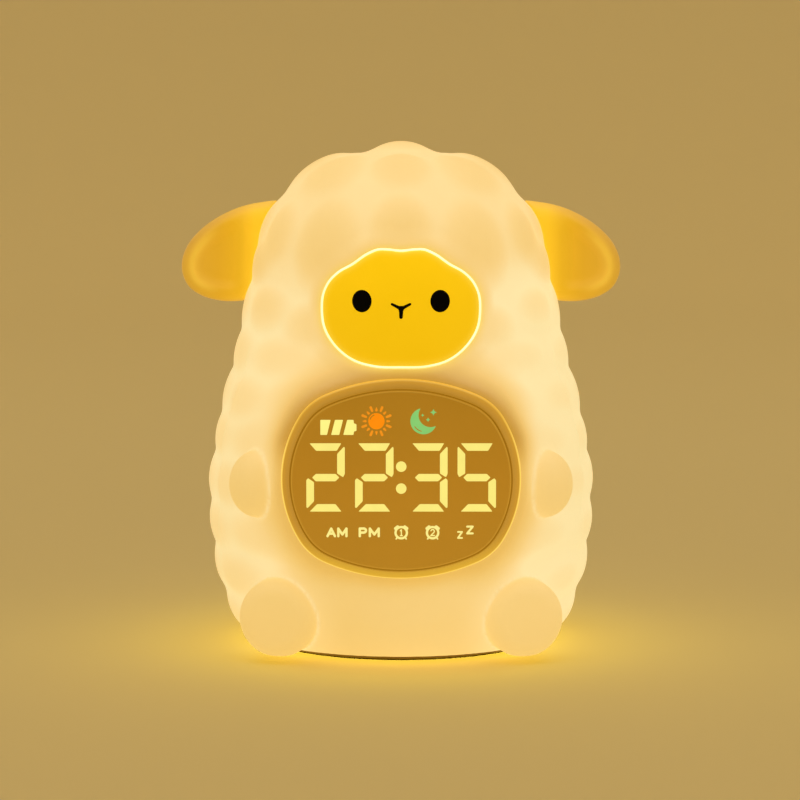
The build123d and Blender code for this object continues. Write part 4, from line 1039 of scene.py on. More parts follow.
m.to(m.mix(m.range(m.noise(90.0, 2.0), 0.0, 1.0, 0.3, 0.7), lin(254, 246, 190), lin(255, 252, 215)), "Emission Color")
m.p.inputs["Emission Strength"].default_value = 0.86
m.to(m.range(m.noise(900.0, 2.0), 0.2, 0.32, 0.3, 0.7), "Roughness")
piece("face_ring", rim, m.m, ("face_light_ring",), sharp=50)


def on_face(line, proud, name, mat, dome=0.0):
    """A thin printed shape on the face."""
    return piece(name, plate(np.array(line), 0.12 + proud, min(0.10, proud), lambda px, pz: face_depth(px, pz) - proud, rings=6, lift=dome), mat, sharp=60)


M_INK = plastic("eye_black", (0.0022, 0.0018, 0.0014), 0.5, 1500.0, 0.25, 0.00001, 0.03)
for sx, tag in ((-1, "left"), (1, "right")):
    t = np.linspace(0, 2 * math.pi, 72, endpoint=False)
    on_face([(sx * 11.2 + 2.8 * math.cos(a), 105.1 + 3.17 * math.sin(a)) for a in t], 0.12, "eye_" + tag, M_INK, 0.10)


# ------------------------------------------------------------------ flat shapes from 2-D distance functions
def trace(f, x0, x1, z0, z1, h):
    """Closed lines round the places where f(X, Z) is below zero."""
    xs, zs = np.arange(x0, x1 + h, h), np.arange(z0, z1 + h, h)
    X, Z = np.meshgrid(xs, zs, indexing="ij")
    F = f(X, Z) + 1e-7
    S = F < 0
    links = {}

    def point(i, j, k, l):
        key = (i, j, k, l) if (i, j) < (k, l) else (k, l, i, j)
        t = F[key[0], key[1]] / (F[key[0], key[1]] - F[key[2], key[3]])
        return key, (xs[key[0]] + t * (xs[key[2]] - xs[key[0]]), zs[key[1]] + t * (zs[key[3]] - zs[key[1]]))

    where = {}
    code = S[:-1, :-1] * 1 + S[1:, :-1] * 2 + S[1:, 1:] * 4 + S[:-1, 1:] * 8
    sides = {1: [(3, 0)], 2: [(0, 1)], 3: [(3, 1)], 4: [(1, 2)], 5: [(3, 0), (1, 2)], 6: [(0, 2)], 7: [(3, 2)],
             8: [(2, 3)], 9: [(2, 0)], 10: [(0, 1), (2, 3)], 11: [(2, 1)], 12: [(1, 3)], 13: [(1, 0)], 14: [(0, 3)]}
    for i, j in zip(*np.nonzero((code > 0) & (code < 15))):
        edge = [(i, j, i + 1, j), (i + 1, j, i + 1, j + 1), (i, j + 1, i + 1, j + 1), (i, j, i, j + 1)]
        for a, b in sides[int(code[i, j])]:
            ka, pa = point(*edge[a])
            kb, pb = point(*edge[b])
            where[ka], where[kb] = pa, pb
            links[ka] = kb
    loops = []
    while links:
        first = next(iter(links))
        k, line = first, []
        while k in links:
            line.append(where[k])
            k = links.pop(k)
        P = np.array(line)
        keep = np.linalg.norm(P - np.roll(P, 1, 0), axis=1) > h * 0.12
        P = P[keep]
        if len(P) >= 6:
            for _ in range(2):
                P = P * 0.5 + 0.25 * (np.roll(P, 1, 0) + np.roll(P, -1, 0))
            loops.append(P)
    return loops


def thin(loops, y_front, thick, mirror=False):
    """A closed thin plate with these outlines (holes included). y_front is a number or a function of x, z."""
    from mathutils.geometry import tessellate_polygon
    P = np.vstack(loops)
    start = np.concatenate([[0], np.cumsum([len(L) for L in loops])])
    size = [abs(0.5 * np.sum(L[:, 0] * np.roll(L[:, 1], -1) - L[:, 1] * np.roll(L[:, 0], -1))) for L in loops]
    holds = [[j for j in range(len(loops)) if j != i and size[j] > size[i]
              and line_distance(loops[j], loops[i][:1, 0], loops[i][:1, 1])[0][0] < 0] for i in range(len(loops))]
    tris = []
    for i in range(len(loops)):
        if len(holds[i]) % 2:
            continue
        group = [i] + [j for j in range(len(loops)) if len(holds[j]) == len(holds[i]) + 1 and i in holds[j]]
        index = np.concatenate([np.arange(start[g], start[g + 1]) for g in group])
        tris += [tuple(int(index[c]) for c in t) for t in tessellate_polygon([[Vector((px, pz, 0.0)) for px, pz in loops[g]] for g in group])]
    yf = y_front if callable(y_front) else (lambda px, pz: y_front + 0.0 * px)
    y = yf(P[:, 0], P[:, 1])
    n = len(P)
    V = np.vstack([np.stack([P[:, 0], y, P[:, 1]], 1), np.stack([P[:, 0], y + thick, P[:, 1]], 1)])
    F = [tuple(t) for t in tris] + [(n + c, n + b, n + a) for a, b, c in tris]
    s = 0
    for L in loops:
        m = len(L)
        F += [(s + i, s + (i + 1) % m, n + s + (i + 1) % m, n + s + i) for i in range(m)]
        s += m
    me = new_mesh("thin", V, F)
    outward(me)
    return me


def capsule(x, z, a, b, r0, r1=None):
    """Distance to a stroke from a to b with half-widths r0 and r1."""
    r1 = r0 if r1 is None else r1
    dx, dz = b[0] - a[0], b[1] - a[1]
    t = np.clip(((x - a[0]) * dx + (z - a[1]) * dz) / max(dx * dx + dz * dz, 1e-9), 0, 1)
    return np.hypot(x - a[0] - t * dx, z - a[1] - t * dz) - (r0 + (r1 - r0) * t)


def strokes(lines, r, square=False):
    """Distance to a set of lines with the half-width r."""
    def f(x, z):
        d = np.full_like(x, 1e3)
        for line in lines:
            for a, b in zip(line, line[1:]):
                d = np.minimum(d, capsule(x, z, a, b, r))
        return d
    return f


def polygons(shapes, r):
    """Distance to polygons; the corners are not rounded and r has no effect."""
    def f(x, z):
        d = np.full_like(x, 1e3)
        for s in shapes:
            P = np.array(s, float)
            d = np.minimum(d, smax(line_distance(P, x, z)[0].reshape(x.shape), line_distance(P, x, z)[0].reshape(x.shape), 0.001) + 0.0)
        return d - 0.0 * r
    return f


def arc(cx, cz, r, a0, a1, n=14, squash=1.0):
    return [(cx + r * math.cos(math.radians(a)), cz + r * squash * math.sin(math.radians(a))) for a in np.linspace(a0, a1, n)]


LETTERS = {  # strokes in a box 1 high
    "A": (0.86, [[(0, 0), (0.43, 1), (0.86, 0)], [(0.14, 0.33), (0.72, 0.33)]]),
    "D": (0.72, [[(0, 0), (0, 1), (0.3, 1)] + arc(0.3, 0.5, 0.42, 90, -90, 10, 1.19) + [(0.3, 0), (0, 0)]]),
    "E": (0.6, [[(0.6, 1), (0, 1), (0, 0), (0.6, 0)], [(0, 0.52), (0.52, 0.52)]]),
    "F": (0.58, [[(0.58, 1), (0, 1), (0, 0)], [(0, 0.5), (0.5, 0.5)]]),
    "M": (0.95, [[(0, 0), (0, 1), (0.475, 0.22), (0.95, 1), (0.95, 0)]]),
    "N": (0.72, [[(0, 0), (0, 1), (0.72, 0), (0.72, 1)]]),
    "O": (0.82, [arc(0.41, 0.5, 0.41, 0, 360, 28, 1.22)]),
    "P": (0.68, [[(0, 0), (0, 1), (0.4, 1)] + arc(0.4, 0.74, 0.27, 90, -90, 9) + [(0.4, 0.47), (0, 0.47)]]),
    "S": (0.64, [arc(0.32, 0.745, 0.29, 35, 270, 12, 0.9) + arc(0.32, 0.245, 0.30, 90, -145, 12, 0.85)]),
    "T": (0.7, [[(0, 1), (0.7, 1)], [(0.35, 1), (0.35, 0)]]),
    "Z": (0.78, [[(0, 1), (0.78, 1), (0, 0), (0.78, 0)]]),
    "1": (0.3, [[(0.0, 0.78), (0.26, 1), (0.26, 0)]]),
    "2": (0.6, [arc(0.3, 0.72, 0.28, 160, -35, 12) + [(0.0, 0.0), (0.6, 0.0)]]),
    "+": (0.8, [[(0, 0.5), (0.8, 0.5)], [(0.4, 0.1), (0.4, 0.9)]]),
    "-": (0.8, [[(0, 0.5), (0.8, 0.5)]]),
}


def word(text, x, z, high, r, gap=0.32, width=None):
    """The strokes of a word whose left foot is at x, z."""
    lines = []
    for c in text:
        if c == " ":
            x += 0.5 * high
            continue
        w, parts = LETTERS[c]
        for part in parts:
            lines.append([(x + px * high, z + pz * high) for px, pz in part])
        x += (w + gap) * high
    return lines, x - gap * high


def printed(name, f, box, y_front, mat, thick=0.3, h=0.055, body="clock"):
    return piece(name, thin(trace(f, *box, h), y_front, thick), mat, body=body, sharp=40)


# nose: a small Y drawn on the face
def nose(x, z):
    d = np.full_like(x, 1e3)
    for s in (-1, 1):
        d = smin(d, capsule(x, z, (0.05, 103.0), (s * 2.58, 104.3), 0.50, 0.36), 0.30)
    return smin(d, capsule(x, z, (0.05, 103.1), (0.0, 100.65), 0.66, 0.50), 0.45)


printed("nose", nose, (-4.0, 4.0, 98.5, 106.0), lambda px, pz: face_depth(px, pz) - 0.13, M_INK, 0.25, 0.07)

# ------------------------------------------------------------------ ears
EAR_Y, EAR_THICK, NECK_Z = 2.0, 10.0, 116.0
ear_table = Table(30.0, 70.0, 98.0, 136.0, 0.4)
ear_line = even(closed_curve(EAR_OUTLINE + [(33.0, 118.0)], 10), 260)
ear_table.v = line_distance(ear_line, ear_table.X, ear_table.Z)[0].reshape(ear_table.X.shape)


def ear(x, y, z):
    d = ear_table(x, z)
    half = EAR_THICK / 2 - 0.5
    yy = y - EAR_Y
    # fuller in the middle of the leaf than at its edge, with a shallow cup in front
    inside = np.clip(-d / 6.5, 0.0, 1.0)
    full = half * np.sqrt(np.clip(1.0 - (1.0 - inside) ** 2, 0.0, 1.0))
    dish = 2.1 * step(-d, 2.2, 7.0) * step(x, 47.0, 52.0)
    front = np.maximum(full - dish, 0.35 * full)
    leaf = np.where(yy < 0, -yy - front, yy - full)
    edge = np.sqrt(np.maximum(yy, -yy) ** 2 / half**2 + (1.0 - np.clip(-d / 6.5, -3.0, 1.0)) ** 2) - 1.0
    leaf = np.maximum(leaf * 0.75, np.where(d > -6.5, edge * 3.4, -9.0))
    leaf = smax(leaf, -(trunk(x, y, z) - 0.06) + 0.0 * x, 0.5)
    qy, qz = np.abs(yy) - (3.0 - 1.2), np.abs(z - NECK_Z) - (5.5 - 1.2)
    bar = np.hypot(np.maximum(qy, 0), np.maximum(qz, 0)) + np.minimum(np.maximum(qy, qz), 0) - 1.2
    bar = np.maximum(bar, np.maximum(x - 48.0, 34.3 - x))
    qy, qz = np.abs(yy) - (5.0 - 1.5), np.abs(z - NECK_Z) - (7.5 - 1.5)
    knob = np.hypot(np.maximum(qy, 0), np.maximum(qz, 0)) + np.minimum(np.maximum(qy, qz), 0) - 1.5
    knob = smax(knob, np.abs(x - 35.15) - 0.8, 0.4)
    return np.minimum(smin(leaf, bar, 0.3), knob)


V, Q = surface(ear, (32.0, -4.5, 98.0), (68.5, 8.5, 135.0), 0.5, relax=2)
# The ears are no lamp: their emission is painted light from the body's glow, brightest at the root, with a painted
# lighter band near the tip and painted shade along the upper and lower edges.
m = Nodes("ear_silicone")
ER = (0.23, 0.125, 0.012)
e1 = m.ramp(m.attr("reach"), [(0.0, less(lin(250, 196, 38), ER)), (0.2, less(lin(232, 178, 34), ER)), (0.5, less(lin(220, 166, 38), ER)), (1.0, less(lin(214, 164, 50), ER))])
e1 = m.mix(m.attr("tip_highlight"), e1, less(lin(233, 184, 58), ER))
e2 = m.mix(m.attr("shade"), e1, less(lin(205, 155, 54), ER))
m.to(e2, "Emission Color")
m.p.inputs["Emission Strength"].default_value = 1.0
m.to(m.mix(m.range(m.noise(40.0, 2.0), 0.0, 1.0, 0.3, 0.7), (0.40, 0.235, 0.03), (0.46, 0.27, 0.036)), "Base Color")
grain = m.noise(1300.0, 4.0, 0.6)
m.to(m.range(grain, 0.44, 0.58, 0.3, 0.7), "Roughness")
m.p.inputs["Specular IOR Level"].default_value = 0.4
m.p.inputs["Sheen Weight"].default_value = 0.15
m.p.inputs["Sheen Roughness"].default_value = 0.45
m.bump(grain, 0.000025, 0.7)
M_EAR = m.m
for sx, node in ((-1, "ear_left"), (1, "ear_right")):
    W = V * np.array([sx, 1.0, 1.0])
    node = "ear_left" if (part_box("ear_left")[0].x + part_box("ear_left")[1].x) * sx > 0 else "ear_right"
    me = new_mesh("ear", W, Q)
    outward(me)
    d = -ear_table(np.abs(W[:, 0]), W[:, 2])
    put(me, "reach", np.clip((np.abs(W[:, 0]) - 44.0) / 22.0, 0, 1))
    far = step(np.abs(W[:, 0]), 46.0, 60.0)
    rim_up = step(-d, -2.6, -0.2) * step(W[:, 2], 108.0, 120.0) * (0.45 + 0.55 * far)
    rim_dn = step(-d, -1.2, -0.1) * (1.0 - step(W[:, 2], 106.0, 114.0)) * 0.4
    put(me, "shade", np.clip(rim_up + rim_dn, 0, 1))
    # Painted highlight: a lighter band inside the tip.
    put(me, "tip_highlight", np.exp(-(((d - 3.4) / 1.3) ** 2)) * step(np.abs(W[:, 0]), 53.0, 61.0))
    piece(node + "_soft", me, M_EAR, (node,), sharp=55)

# ------------------------------------------------------------------ display ring and window
RING = oval(BEZEL, 420)
RN = np.roll(RING, -1, 0) - np.roll(RING, 1, 0)
RN = np.stack([-RN[:, 1], RN[:, 0]], 1)
RN /= np.linalg.norm(RN, axis=1)[:, None]
if (RN * RING).sum() > 0:
    RN = -RN  # inward
WIN = even(oval(WINDOW, 420), 420)
GROOVE = oval((31.85, 26.15), 420) + np.array([0.0, -0.35])  # the inner edge of the ring


def between(t):
    """A line between the ring's outer outline (0) and the window's (1)."""
    k = np.argmin(((WIN[:, None] - RING[None]) ** 2).sum(-1), 0)
    return RING * (1 - t) + WIN[k] * t


k = np.argmin(((WIN[:, None] - RING[None]) ** 2).sum(-1), 0)
WIN_AT = WIN[k]
TUB = oval(TUBE, 420)
TUB_AT = TUB[np.argmin(((TUB[:, None] - RING[None]) ** 2).sum(-1), 0)]
BOR = oval(BORE, 420)
BOR_AT = BOR[np.argmin(((BOR[:, None] - RING[None]) ** 2).sum(-1), 0)]
# (line A, line B, share, y)
k = np.argmin(((GROOVE[:, None] - RING[None]) ** 2).sum(-1), 0)
LIP_AT = GROOVE[k]
prof = [(RING, WIN_AT, 0.00, FRONT_FLAT - 0.03), (RING, WIN_AT, 0.00, BEZEL_FRONT + 1.1), (RING, WIN_AT, 0.03, BEZEL_FRONT + 0.62), (RING, WIN_AT, 0.09, BEZEL_FRONT + 0.28),
        (RING, WIN_AT, 0.18, BEZEL_FRONT + 0.10), (RING, WIN_AT, 0.30, BEZEL_FRONT + 0.02), (RING, WIN_AT, 0.50, BEZEL_FRONT), (RING, WIN_AT, 0.74, BEZEL_FRONT + 0.02),
        (RING, LIP_AT, 0.90, BEZEL_FRONT + 0.08), (RING, LIP_AT, 0.99, BEZEL_FRONT + 0.34), (RING, LIP_AT, 1.0, WINDOW_FRONT + WINDOW_THICK + 0.02),
        (BOR_AT, BOR_AT, 0.0, WINDOW_FRONT + WINDOW_THICK + 0.02), (BOR_AT, BOR_AT, 0.0, TUBE_END + 0.05), (TUB_AT, TUB_AT, 0.0, TUBE_END + 0.05), (TUB_AT, TUB_AT, 0.0, FRONT_FLAT - 0.03)]
n = len(RING)
V, F, band = [], [], []
for A, B, t, y in prof:
    L = A * (1 - t) + B * t
    V += [(px, y, pz + DISPLAY_Z) for px, pz in L]
    band += [t if A is RING else 1.0] * n
k = len(prof)
for a in range(k):
    b = (a + 1) % k
    F += [(a * n + i, a * n + (i + 1) % n, b * n + (i + 1) % n, b * n + i) for i in range(n)]
ring = new_mesh("ring", V, F)
outward(ring)
P = coords(ring)
# The ring is no lamp: its emission is painted light from the glowing skin. The inner walls get painted shade, the band
# darkens from its outer edge inwards, the lower half is painted brighter, and the outer edge is a painted bright line,
# faint at the top.
put(ring, "groove_shade", [1.0 if i // n >= 10 or (i // n == 9) * 0.0 else 0.0 for i in range(k * n)])
put(ring, "band", band)
put(ring, "low", step(DISPLAY_Z - P[:, 2], 12.0, 27.0))
put(ring, "lip", (np.array(band) < 0.17) * (0.15 + 0.85 * step(DISPLAY_Z + 25.0 - P[:, 2], 0.0, 22.0)) * (P[:, 1] < BEZEL_FRONT + 1.3))
BR = (0.15, 0.075, 0.010)
m = Nodes("ring_plastic")
up = m.ramp(m.attr("band"), [(0.0, less(lin(226, 166, 40), BR)), (0.12, less(lin(206, 150, 38), BR)), (0.25, less(lin(201, 147, 48), BR)), (0.6, less(lin(191, 140, 50), BR)), (1.0, less(lin(178, 129, 40), BR))])
dn = m.ramp(m.attr("band"), [(0.0, less(lin(236, 190, 68), BR)), (0.12, less(lin(228, 180, 60), BR)), (0.3, less(lin(221, 172, 54), BR)), (0.7, less(lin(212, 164, 52), BR)), (1.0, less(lin(190, 142, 44), BR))])
band_glow = m.mix(m.attr("lip"), m.mix(m.attr("low"), up, dn), less(lin(255, 213, 96), BR))
m.to(m.mix(m.attr("groove_shade"), band_glow, lin(150, 102, 14)), "Emission Color")
m.p.inputs["Emission Strength"].default_value = 1.0
m.to(m.mix(m.attr("groove_shade"), m.mix(m.range(m.noise(50.0, 2.0), 0.0, 1.0, 0.3, 0.7), (0.25, 0.15, 0.03), (0.28, 0.17, 0.034)), (0.05, 0.03, 0.006)), "Base Color")
grain = m.noise(1200.0, 3.0, 0.6)
m.to(m.range(grain, 0.34, 0.46, 0.3, 0.7), "Roughness")
m.bump(grain, 0.00002, 0.7)
M_RING = m.m
piece("display_ring", ring, M_RING, ("display_bezel",), sharp=40)

# the window: a shallow plate with a softened edge
win_out = oval((31.42, 25.72), 300) + np.array([0.0, -0.35])
V, F = [], []
rings = []
for s, y in [(0.0, WINDOW_FRONT + WINDOW_THICK), (0.0, WINDOW_FRONT + 0.42), (0.10, WINDOW_FRONT + 0.22), (0.28, WINDOW_FRONT + 0.08), (0.55, WINDOW_FRONT + 0.015), (0.85, WINDOW_FRONT)]:
    L = win_out * (1 - s / np.array(WINDOW))
    rings.append(list(range(len(V), len(V) + len(L))))
    V += [(px, y, pz + DISPLAY_Z) for px, pz in L]
base = L
for q in (0.94, 0.86, 0.76, 0.66, 0.55, 0.44, 0.33, 0.22, 0.11):
    rings.append(list(range(len(V), len(V) + len(base))))
    V += [(px * q, WINDOW_FRONT, pz * q + DISPLAY_Z) for px, pz in base]
n = len(base)
for a, b in zip(rings, rings[1:]):
    F += [(a[i], a[(i + 1) % n], b[(i + 1) % n], b[i]) for i in range(n)]
V.append((0.0, WINDOW_FRONT, DISPLAY_Z))
F += [(rings[-1][i], rings[-1][(i + 1) % n], len(V) - 1) for i in range(n)]
V.append((0.0, WINDOW_FRONT + WINDOW_THICK, DISPLAY_Z))
F += [(rings[0][(i + 1) % n], rings[0][i], len(V) - 1) for i in range(n)]
win = new_mesh("window", V, F)
outward(win)
P = coords(win)
# Painted light on the pane: a painted highlight along its front edge, painted shade on its side walls, and painted
# shade making it a little darker towards the top.
put(win, "edge", step(P[:, 1], WINDOW_FRONT + 0.01, WINDOW_FRONT + 0.15) * (P[:, 1] < WINDOW_FRONT + 0.3))
put(win, "wall_shade", (P[:, 1] > WINDOW_FRONT + 0.3) * 1.0)
put(win, "high", np.clip((P[:, 2] - DISPLAY_Z + 26.0) / 52.0, 0, 1))
WR = (0.106, 0.044, 0.006)
m = Nodes("window_amber")
w1 = m.ramp(m.attr("high"), [(0.0, less(lin(181, 127, 34), WR)), (0.5, less(lin(180, 124, 31), WR)), (1.0, less(lin(172, 119, 28), WR))])
w2 = m.mix(m.range(m.noise(70.0, 2.0), 0.0, 0.06, 0.35, 0.7), w1, less(lin(188, 132, 36), WR))
m.to(m.mix(m.attr("wall_shade"), m.mix(m.math("MULTIPLY", m.attr("edge"), 0.9), w2, less(lin(204, 152, 54), WR)), lin(150, 102, 14)), "Emission Color")
m.p.inputs["Emission Strength"].default_value = 1.0
m.to(m.mix(m.range(m.noise(35.0, 2.0), 0.0, 1.0, 0.3, 0.7), (0.16, 0.085, 0.014), (0.19, 0.10, 0.018)), "Base Color")
grain = m.noise(1500.0, 2.0)
m.to(m.range(grain, 0.30, 0.38, 0.3, 0.7), "Roughness")
m.p.inputs["Specular IOR Level"].default_value = 0.4
m.bump(grain, 0.000008, 0.6)
M_WINDOW = m.m
piece("display_pane", win, M_WINDOW, ("display_window",), sharp=50)


def lit(name, c, vary=0.02):
    m = Nodes(name)
    lo, hi = tuple(a * (1 - vary) for a in lin(*c)), tuple(a * (1 + vary) for a in lin(*c))
    m.to(m.mix(m.range(m.noise(260.0, 2.0), 0.0, 1.0, 0.3, 0.7), lo, hi), "Emission Color")
    m.p.inputs["Emission Strength"].default_value = 1.0
    m.to(m.mix(m.range(m.noise(600.0, 2.0), 0.0, 1.0, 0.3, 0.7), (0.02, 0.018, 0.01), (0.03, 0.026, 0.014)), "Base Color")
    m.to(m.range(m.noise(900.0, 2.0), 0.35, 0.5, 0.3, 0.7), "Roughness")
    m.p.inputs["Specular IOR Level"].default_value = 0.2
    return m.m


M_DIGIT = lit("lit_segment", (251, 234, 124))
M_CELL = lit("lit_battery", (253, 243, 134))
M_SUN = lit("lit_sun", (253, 139, 3), 0.05)
M_RAY = lit("lit_ray", (240, 143, 24), 0.05)
M_MOON = lit("lit_moon", (131, 201, 110), 0.04)
M_LEGEND = lit("lit_legend", (252, 238, 140))

def soft_polygon(points, n=120, passes=2):
    P = even(np.array(points, float), n)
    for _ in range(passes):
        P = P * 0.5 + 0.25 * (np.roll(P, 1, 0) + np.roll(P, -1, 0))
    return P


def grown(points, by):
    """A convex polygon with each side moved out."""
    P = np.array(points, float)
    c = P.mean(0)
    E = np.roll(P, -1, 0) - P
    N = np.stack([E[:, 1], -E[:, 0]], 1) / np.linalg.norm(E, axis=1)[:, None]
    N *= np.sign(((P + E / 2 - c) * N).sum(1))[:, None]
    out = []
    for i in range(len(P)):
        a, b = N[i - 1], N[i]
        out.append(P[i] + by * (a + b) / max(1.0 + float(a @ b), 0.4))
    return out


GLYPH_Y = WINDOW_FRONT - 0.05
U = 0.0399  # mm per drawing unit of the digit shapes
SEG = {
    "a": [(25, 0), (245, 0), (215, 50), (69, 50)],
    "d": [(75, 435), (205, 435), (245, 485), (25, 485)],
    "b": [(220, 75), (267, 25), (271, 29), (271, 217), (260, 238), (220, 213)],
    "c": [(220, 277), (260, 250), (271, 262), (271, 456), (265, 460), (220, 412)],
    "f": [(0, 29), (4, 25), (51, 75), (51, 213), (11, 238), (0, 217)],
    "e": [(0, 262), (11, 250), (51, 277), (51, 412), (6, 460), (0, 456)],
    "g": [(42, 243), (67, 219), (207, 219), (231, 243), (205, 268), (66, 268)],
}
for left, parts, tag in ((-26.87, "abged", "hour_tens"), (-13.01, "abged", "hour_units"), (2.37, "abgcd", "minute_tens"), (16.15, "afgcd", "minute_units")):
    for s in parts:
        shape = [(left + ux * U, DISPLAY_Z + 10.30 - uz * 0.0401) for ux, uz in SEG[s]]
        P = soft_polygon(grown(shape, 0.07), 130, 2)
        piece(f"digit_{tag}_{s}", thin([P], GLYPH_Y, 0.3), M_DIGIT, sharp=40)
for dz_, tag in ((3.94, "upper"), (-2.36, "lower")):
    t = np.linspace(0, 2 * math.pi, 60, endpoint=False)
    piece("colon_" + tag, thin([np.stack([0.06 + 1.5 * np.cos(t), DISPLAY_Z + dz_ - 0.26 + 1.5 * np.sin(t)], 1)], GLYPH_Y, 0.3), M_DIGIT, sharp=40)


cells = [[(-22.91, 17.32), (-19.99, 17.32), (-21.02, 13.03), (-22.91, 13.03)], [(-18.74, 17.32), (-16.46, 17.32), (-17.56, 13.03), (-19.85, 13.03)],
         [(-15.28, 17.32), (-13.49, 17.32), (-13.37, 16.3), (-12.65, 16.09), (-12.65, 14.2), (-13.37, 14.0), (-13.49, 13.03), (-16.39, 13.03)]]
for i, c in enumerate(cells):
    piece(f"battery_cell_{i + 1}", thin([soft_polygon([(px, pz + DISPLAY_Z - 0.26) for px, pz in c])], GLYPH_Y, 0.3), M_CELL, sharp=40)

SX, SZ = -6.97, DISPLAY_Z + 16.68


def sun_core(x, z):
    d = np.hypot(x - SX, z - SZ) - 2.32
    cut = strokes([arc(SX, SZ, 1.86, 112, 162, 10)], 0.15)(x, z)
    return np.maximum(d, -cut)


printed("sun_core", sun_core, (SX - 3, SX + 3, SZ - 3, SZ + 3), GLYPH_Y, M_SUN, h=0.05)


def sun_rays(x, z):
    d = np.full_like(x, 1e3)
    for i in range(8):
        a = math.radians(22.5 + 45 * i)
        c, s = math.cos(a), math.sin(a)
        d = np.minimum(d, capsule(x, z, (SX + 3.2 * c, SZ + 3.2 * s), (SX + 4.25 * c, SZ + 4.25 * s), 0.33, 0.37))
        a = math.radians(45 * i)
        c, s = math.cos(a), math.sin(a)
        d = np.minimum(d, capsule(x, z, (SX + 3.14 * c, SZ + 3.14 * s), (SX + 3.75 * c, SZ + 3.75 * s), 0.36, 0.18))
    return d


printed("sun_rays", sun_rays, (SX - 5, SX + 5, SZ - 5, SZ + 5), GLYPH_Y, M_RAY, h=0.06)


def star(x, z, cx, cz, r):
    u, v = np.abs(x - cx), np.abs(z - cz)
    return (np.sqrt(u + 0.02) + np.sqrt(v + 0.02) - math.sqrt(r) - 0.14) * 0.8 * math.sqrt(r)


def moon(x, z):
    cz = DISPLAY_Z - 0.26
    d = smax(np.hypot(x - 6.4, z - cz - 16.94) - 3.74, 3.40 - np.hypot(x - 8.38, z - cz - 18.65), 0.12)
    d = np.maximum(d, -strokes([arc(6.4, cz + 16.94, 2.92, 212, 258, 10)], 0.13)(x, z))
    for sx_, sz_, r in ((9.2, 19.48, 1.08), (7.67, 17.35, 0.75), (6.14, 18.65, 0.55)):
        d = np.minimum(d, star(x, z, sx_, cz + sz_, r))
    return d


printed("moon_icon", moon, (1.8, 11.6, DISPLAY_Z + 12.5, DISPLAY_Z + 21.6), GLYPH_Y, M_MOON, h=0.06)

for text, x0, x1, tag in (("AM", -21.0, -15.5, "am"), ("PM", -11.8, -6.3, "pm")):
    r_ = 0.34
    lines, end = word(text, 0.0, 0.0, 2.74 - 2 * r_ + 0.12, r_, 0.40)
    k_ = (x1 - x0 - 0.1) / end
    lines = [[(x0 + 0.05 + px * k_, DISPLAY_Z - 16.57 + r_ - 0.05 + pz) for px, pz in l] for l in lines]
    printed("legend_" + tag, strokes(lines, r_), (x0 - 1, x1 + 1, DISPLAY_Z - 17.3, DISPLAY_Z - 12.6), GLYPH_Y, M_LEGEND, h=0.06)


def alarm_icon(cx, cz, lines, r):
    inner = strokes([[(cx + px, cz + pz) for px, pz in l] for l in lines], r)

    def f(x, z):
        rr = np.hypot(x - cx, z - cz)
        d = np.abs(rr - 1.62) - 0.32
        for s in (-1, 1):
            d = np.minimum(d, capsule(x, z, (cx + s * 1.02, cz + 1.72), (cx + s * 1.66, cz + 1.22), 0.40))
            d = np.minimum(d, capsule(x, z, (cx + s * 1.15, cz - 1.35), (cx + s * 1.42, cz - 1.78), 0.22))
        return np.minimum(d, inner(x, z))
    return f


printed("alarm_one", alarm_icon(0.06, DISPLAY_Z - 15.29, [[(-0.28, 0.55), (0.04, 0.85), (0.04, -0.80)], [(-0.22, -0.85), (0.30, -0.85)]], 0.17),
        (-2.8, 2.9, DISPLAY_Z - 17.8, DISPLAY_Z - 12.2), GLYPH_Y, M_LEGEND, h=0.06)
printed("alarm_two", alarm_icon(9.01, DISPLAY_Z - 15.29, [arc(0.0, 0.42, 0.50, 165, -50, 10) + [(-0.52, -0.82), (0.55, -0.82)]], 0.17),
        (6.2, 11.9, DISPLAY_Z - 17.8, DISPLAY_Z - 12.2), GLYPH_Y, M_LEGEND, h=0.06)
for x0, x1, z0, z1, r_, tag in ((16.0, 17.65, -17.04, -14.82, 0.24, "small"), (18.57, 20.74, -15.78, -13.24, 0.29, "large")):
    Zs = [[(x0 + r_, DISPLAY_Z + z1 - r_), (x1 - r_, DISPLAY_Z + z1 - r_), (x0 + r_, DISPLAY_Z + z0 + r_), (x1 - r_, DISPLAY_Z + z0 + r_)]]
    printed("snooze_" + tag, strokes(Zs, r_), (x0 - 1, x1 + 1, DISPLAY_Z + z0 - 1, DISPLAY_Z + z1 + 1), GLYPH_Y, M_LEGEND, h=0.06)

# ------------------------------------------------------------------ legends on the rear panel
PANEL_FACE = 55.6
M_PRINT = plastic("panel_print", (0.10, 0.055, 0.016), 0.5, 1500.0, 0.12, 0.000006)


def rear_print(name, f, box):
    """A printed shape on the rear panel, drawn as it is read from behind."""
    loops = trace(f, *box, 0.06)
    loops = [np.stack([-L[:, 0], L[:, 1]], 1)[::-1] for L in loops]
    piece(name, thin(loops, PANEL_FACE - 0.22, 0.26), M_PRINT, sharp=40)


def seen(xc):  # position of something as it is read from behind
    return -xc


def bulb(cx, cz):
    lines = [arc(cx, cz + 0.25, 0.80, -55, 235, 20), [(cx - 0.30, cz - 0.85), (cx + 0.30, cz - 0.85)], [(cx - 0.20, cz - 1.22), (cx + 0.20, cz - 1.22)]]
    return strokes(lines, 0.13)


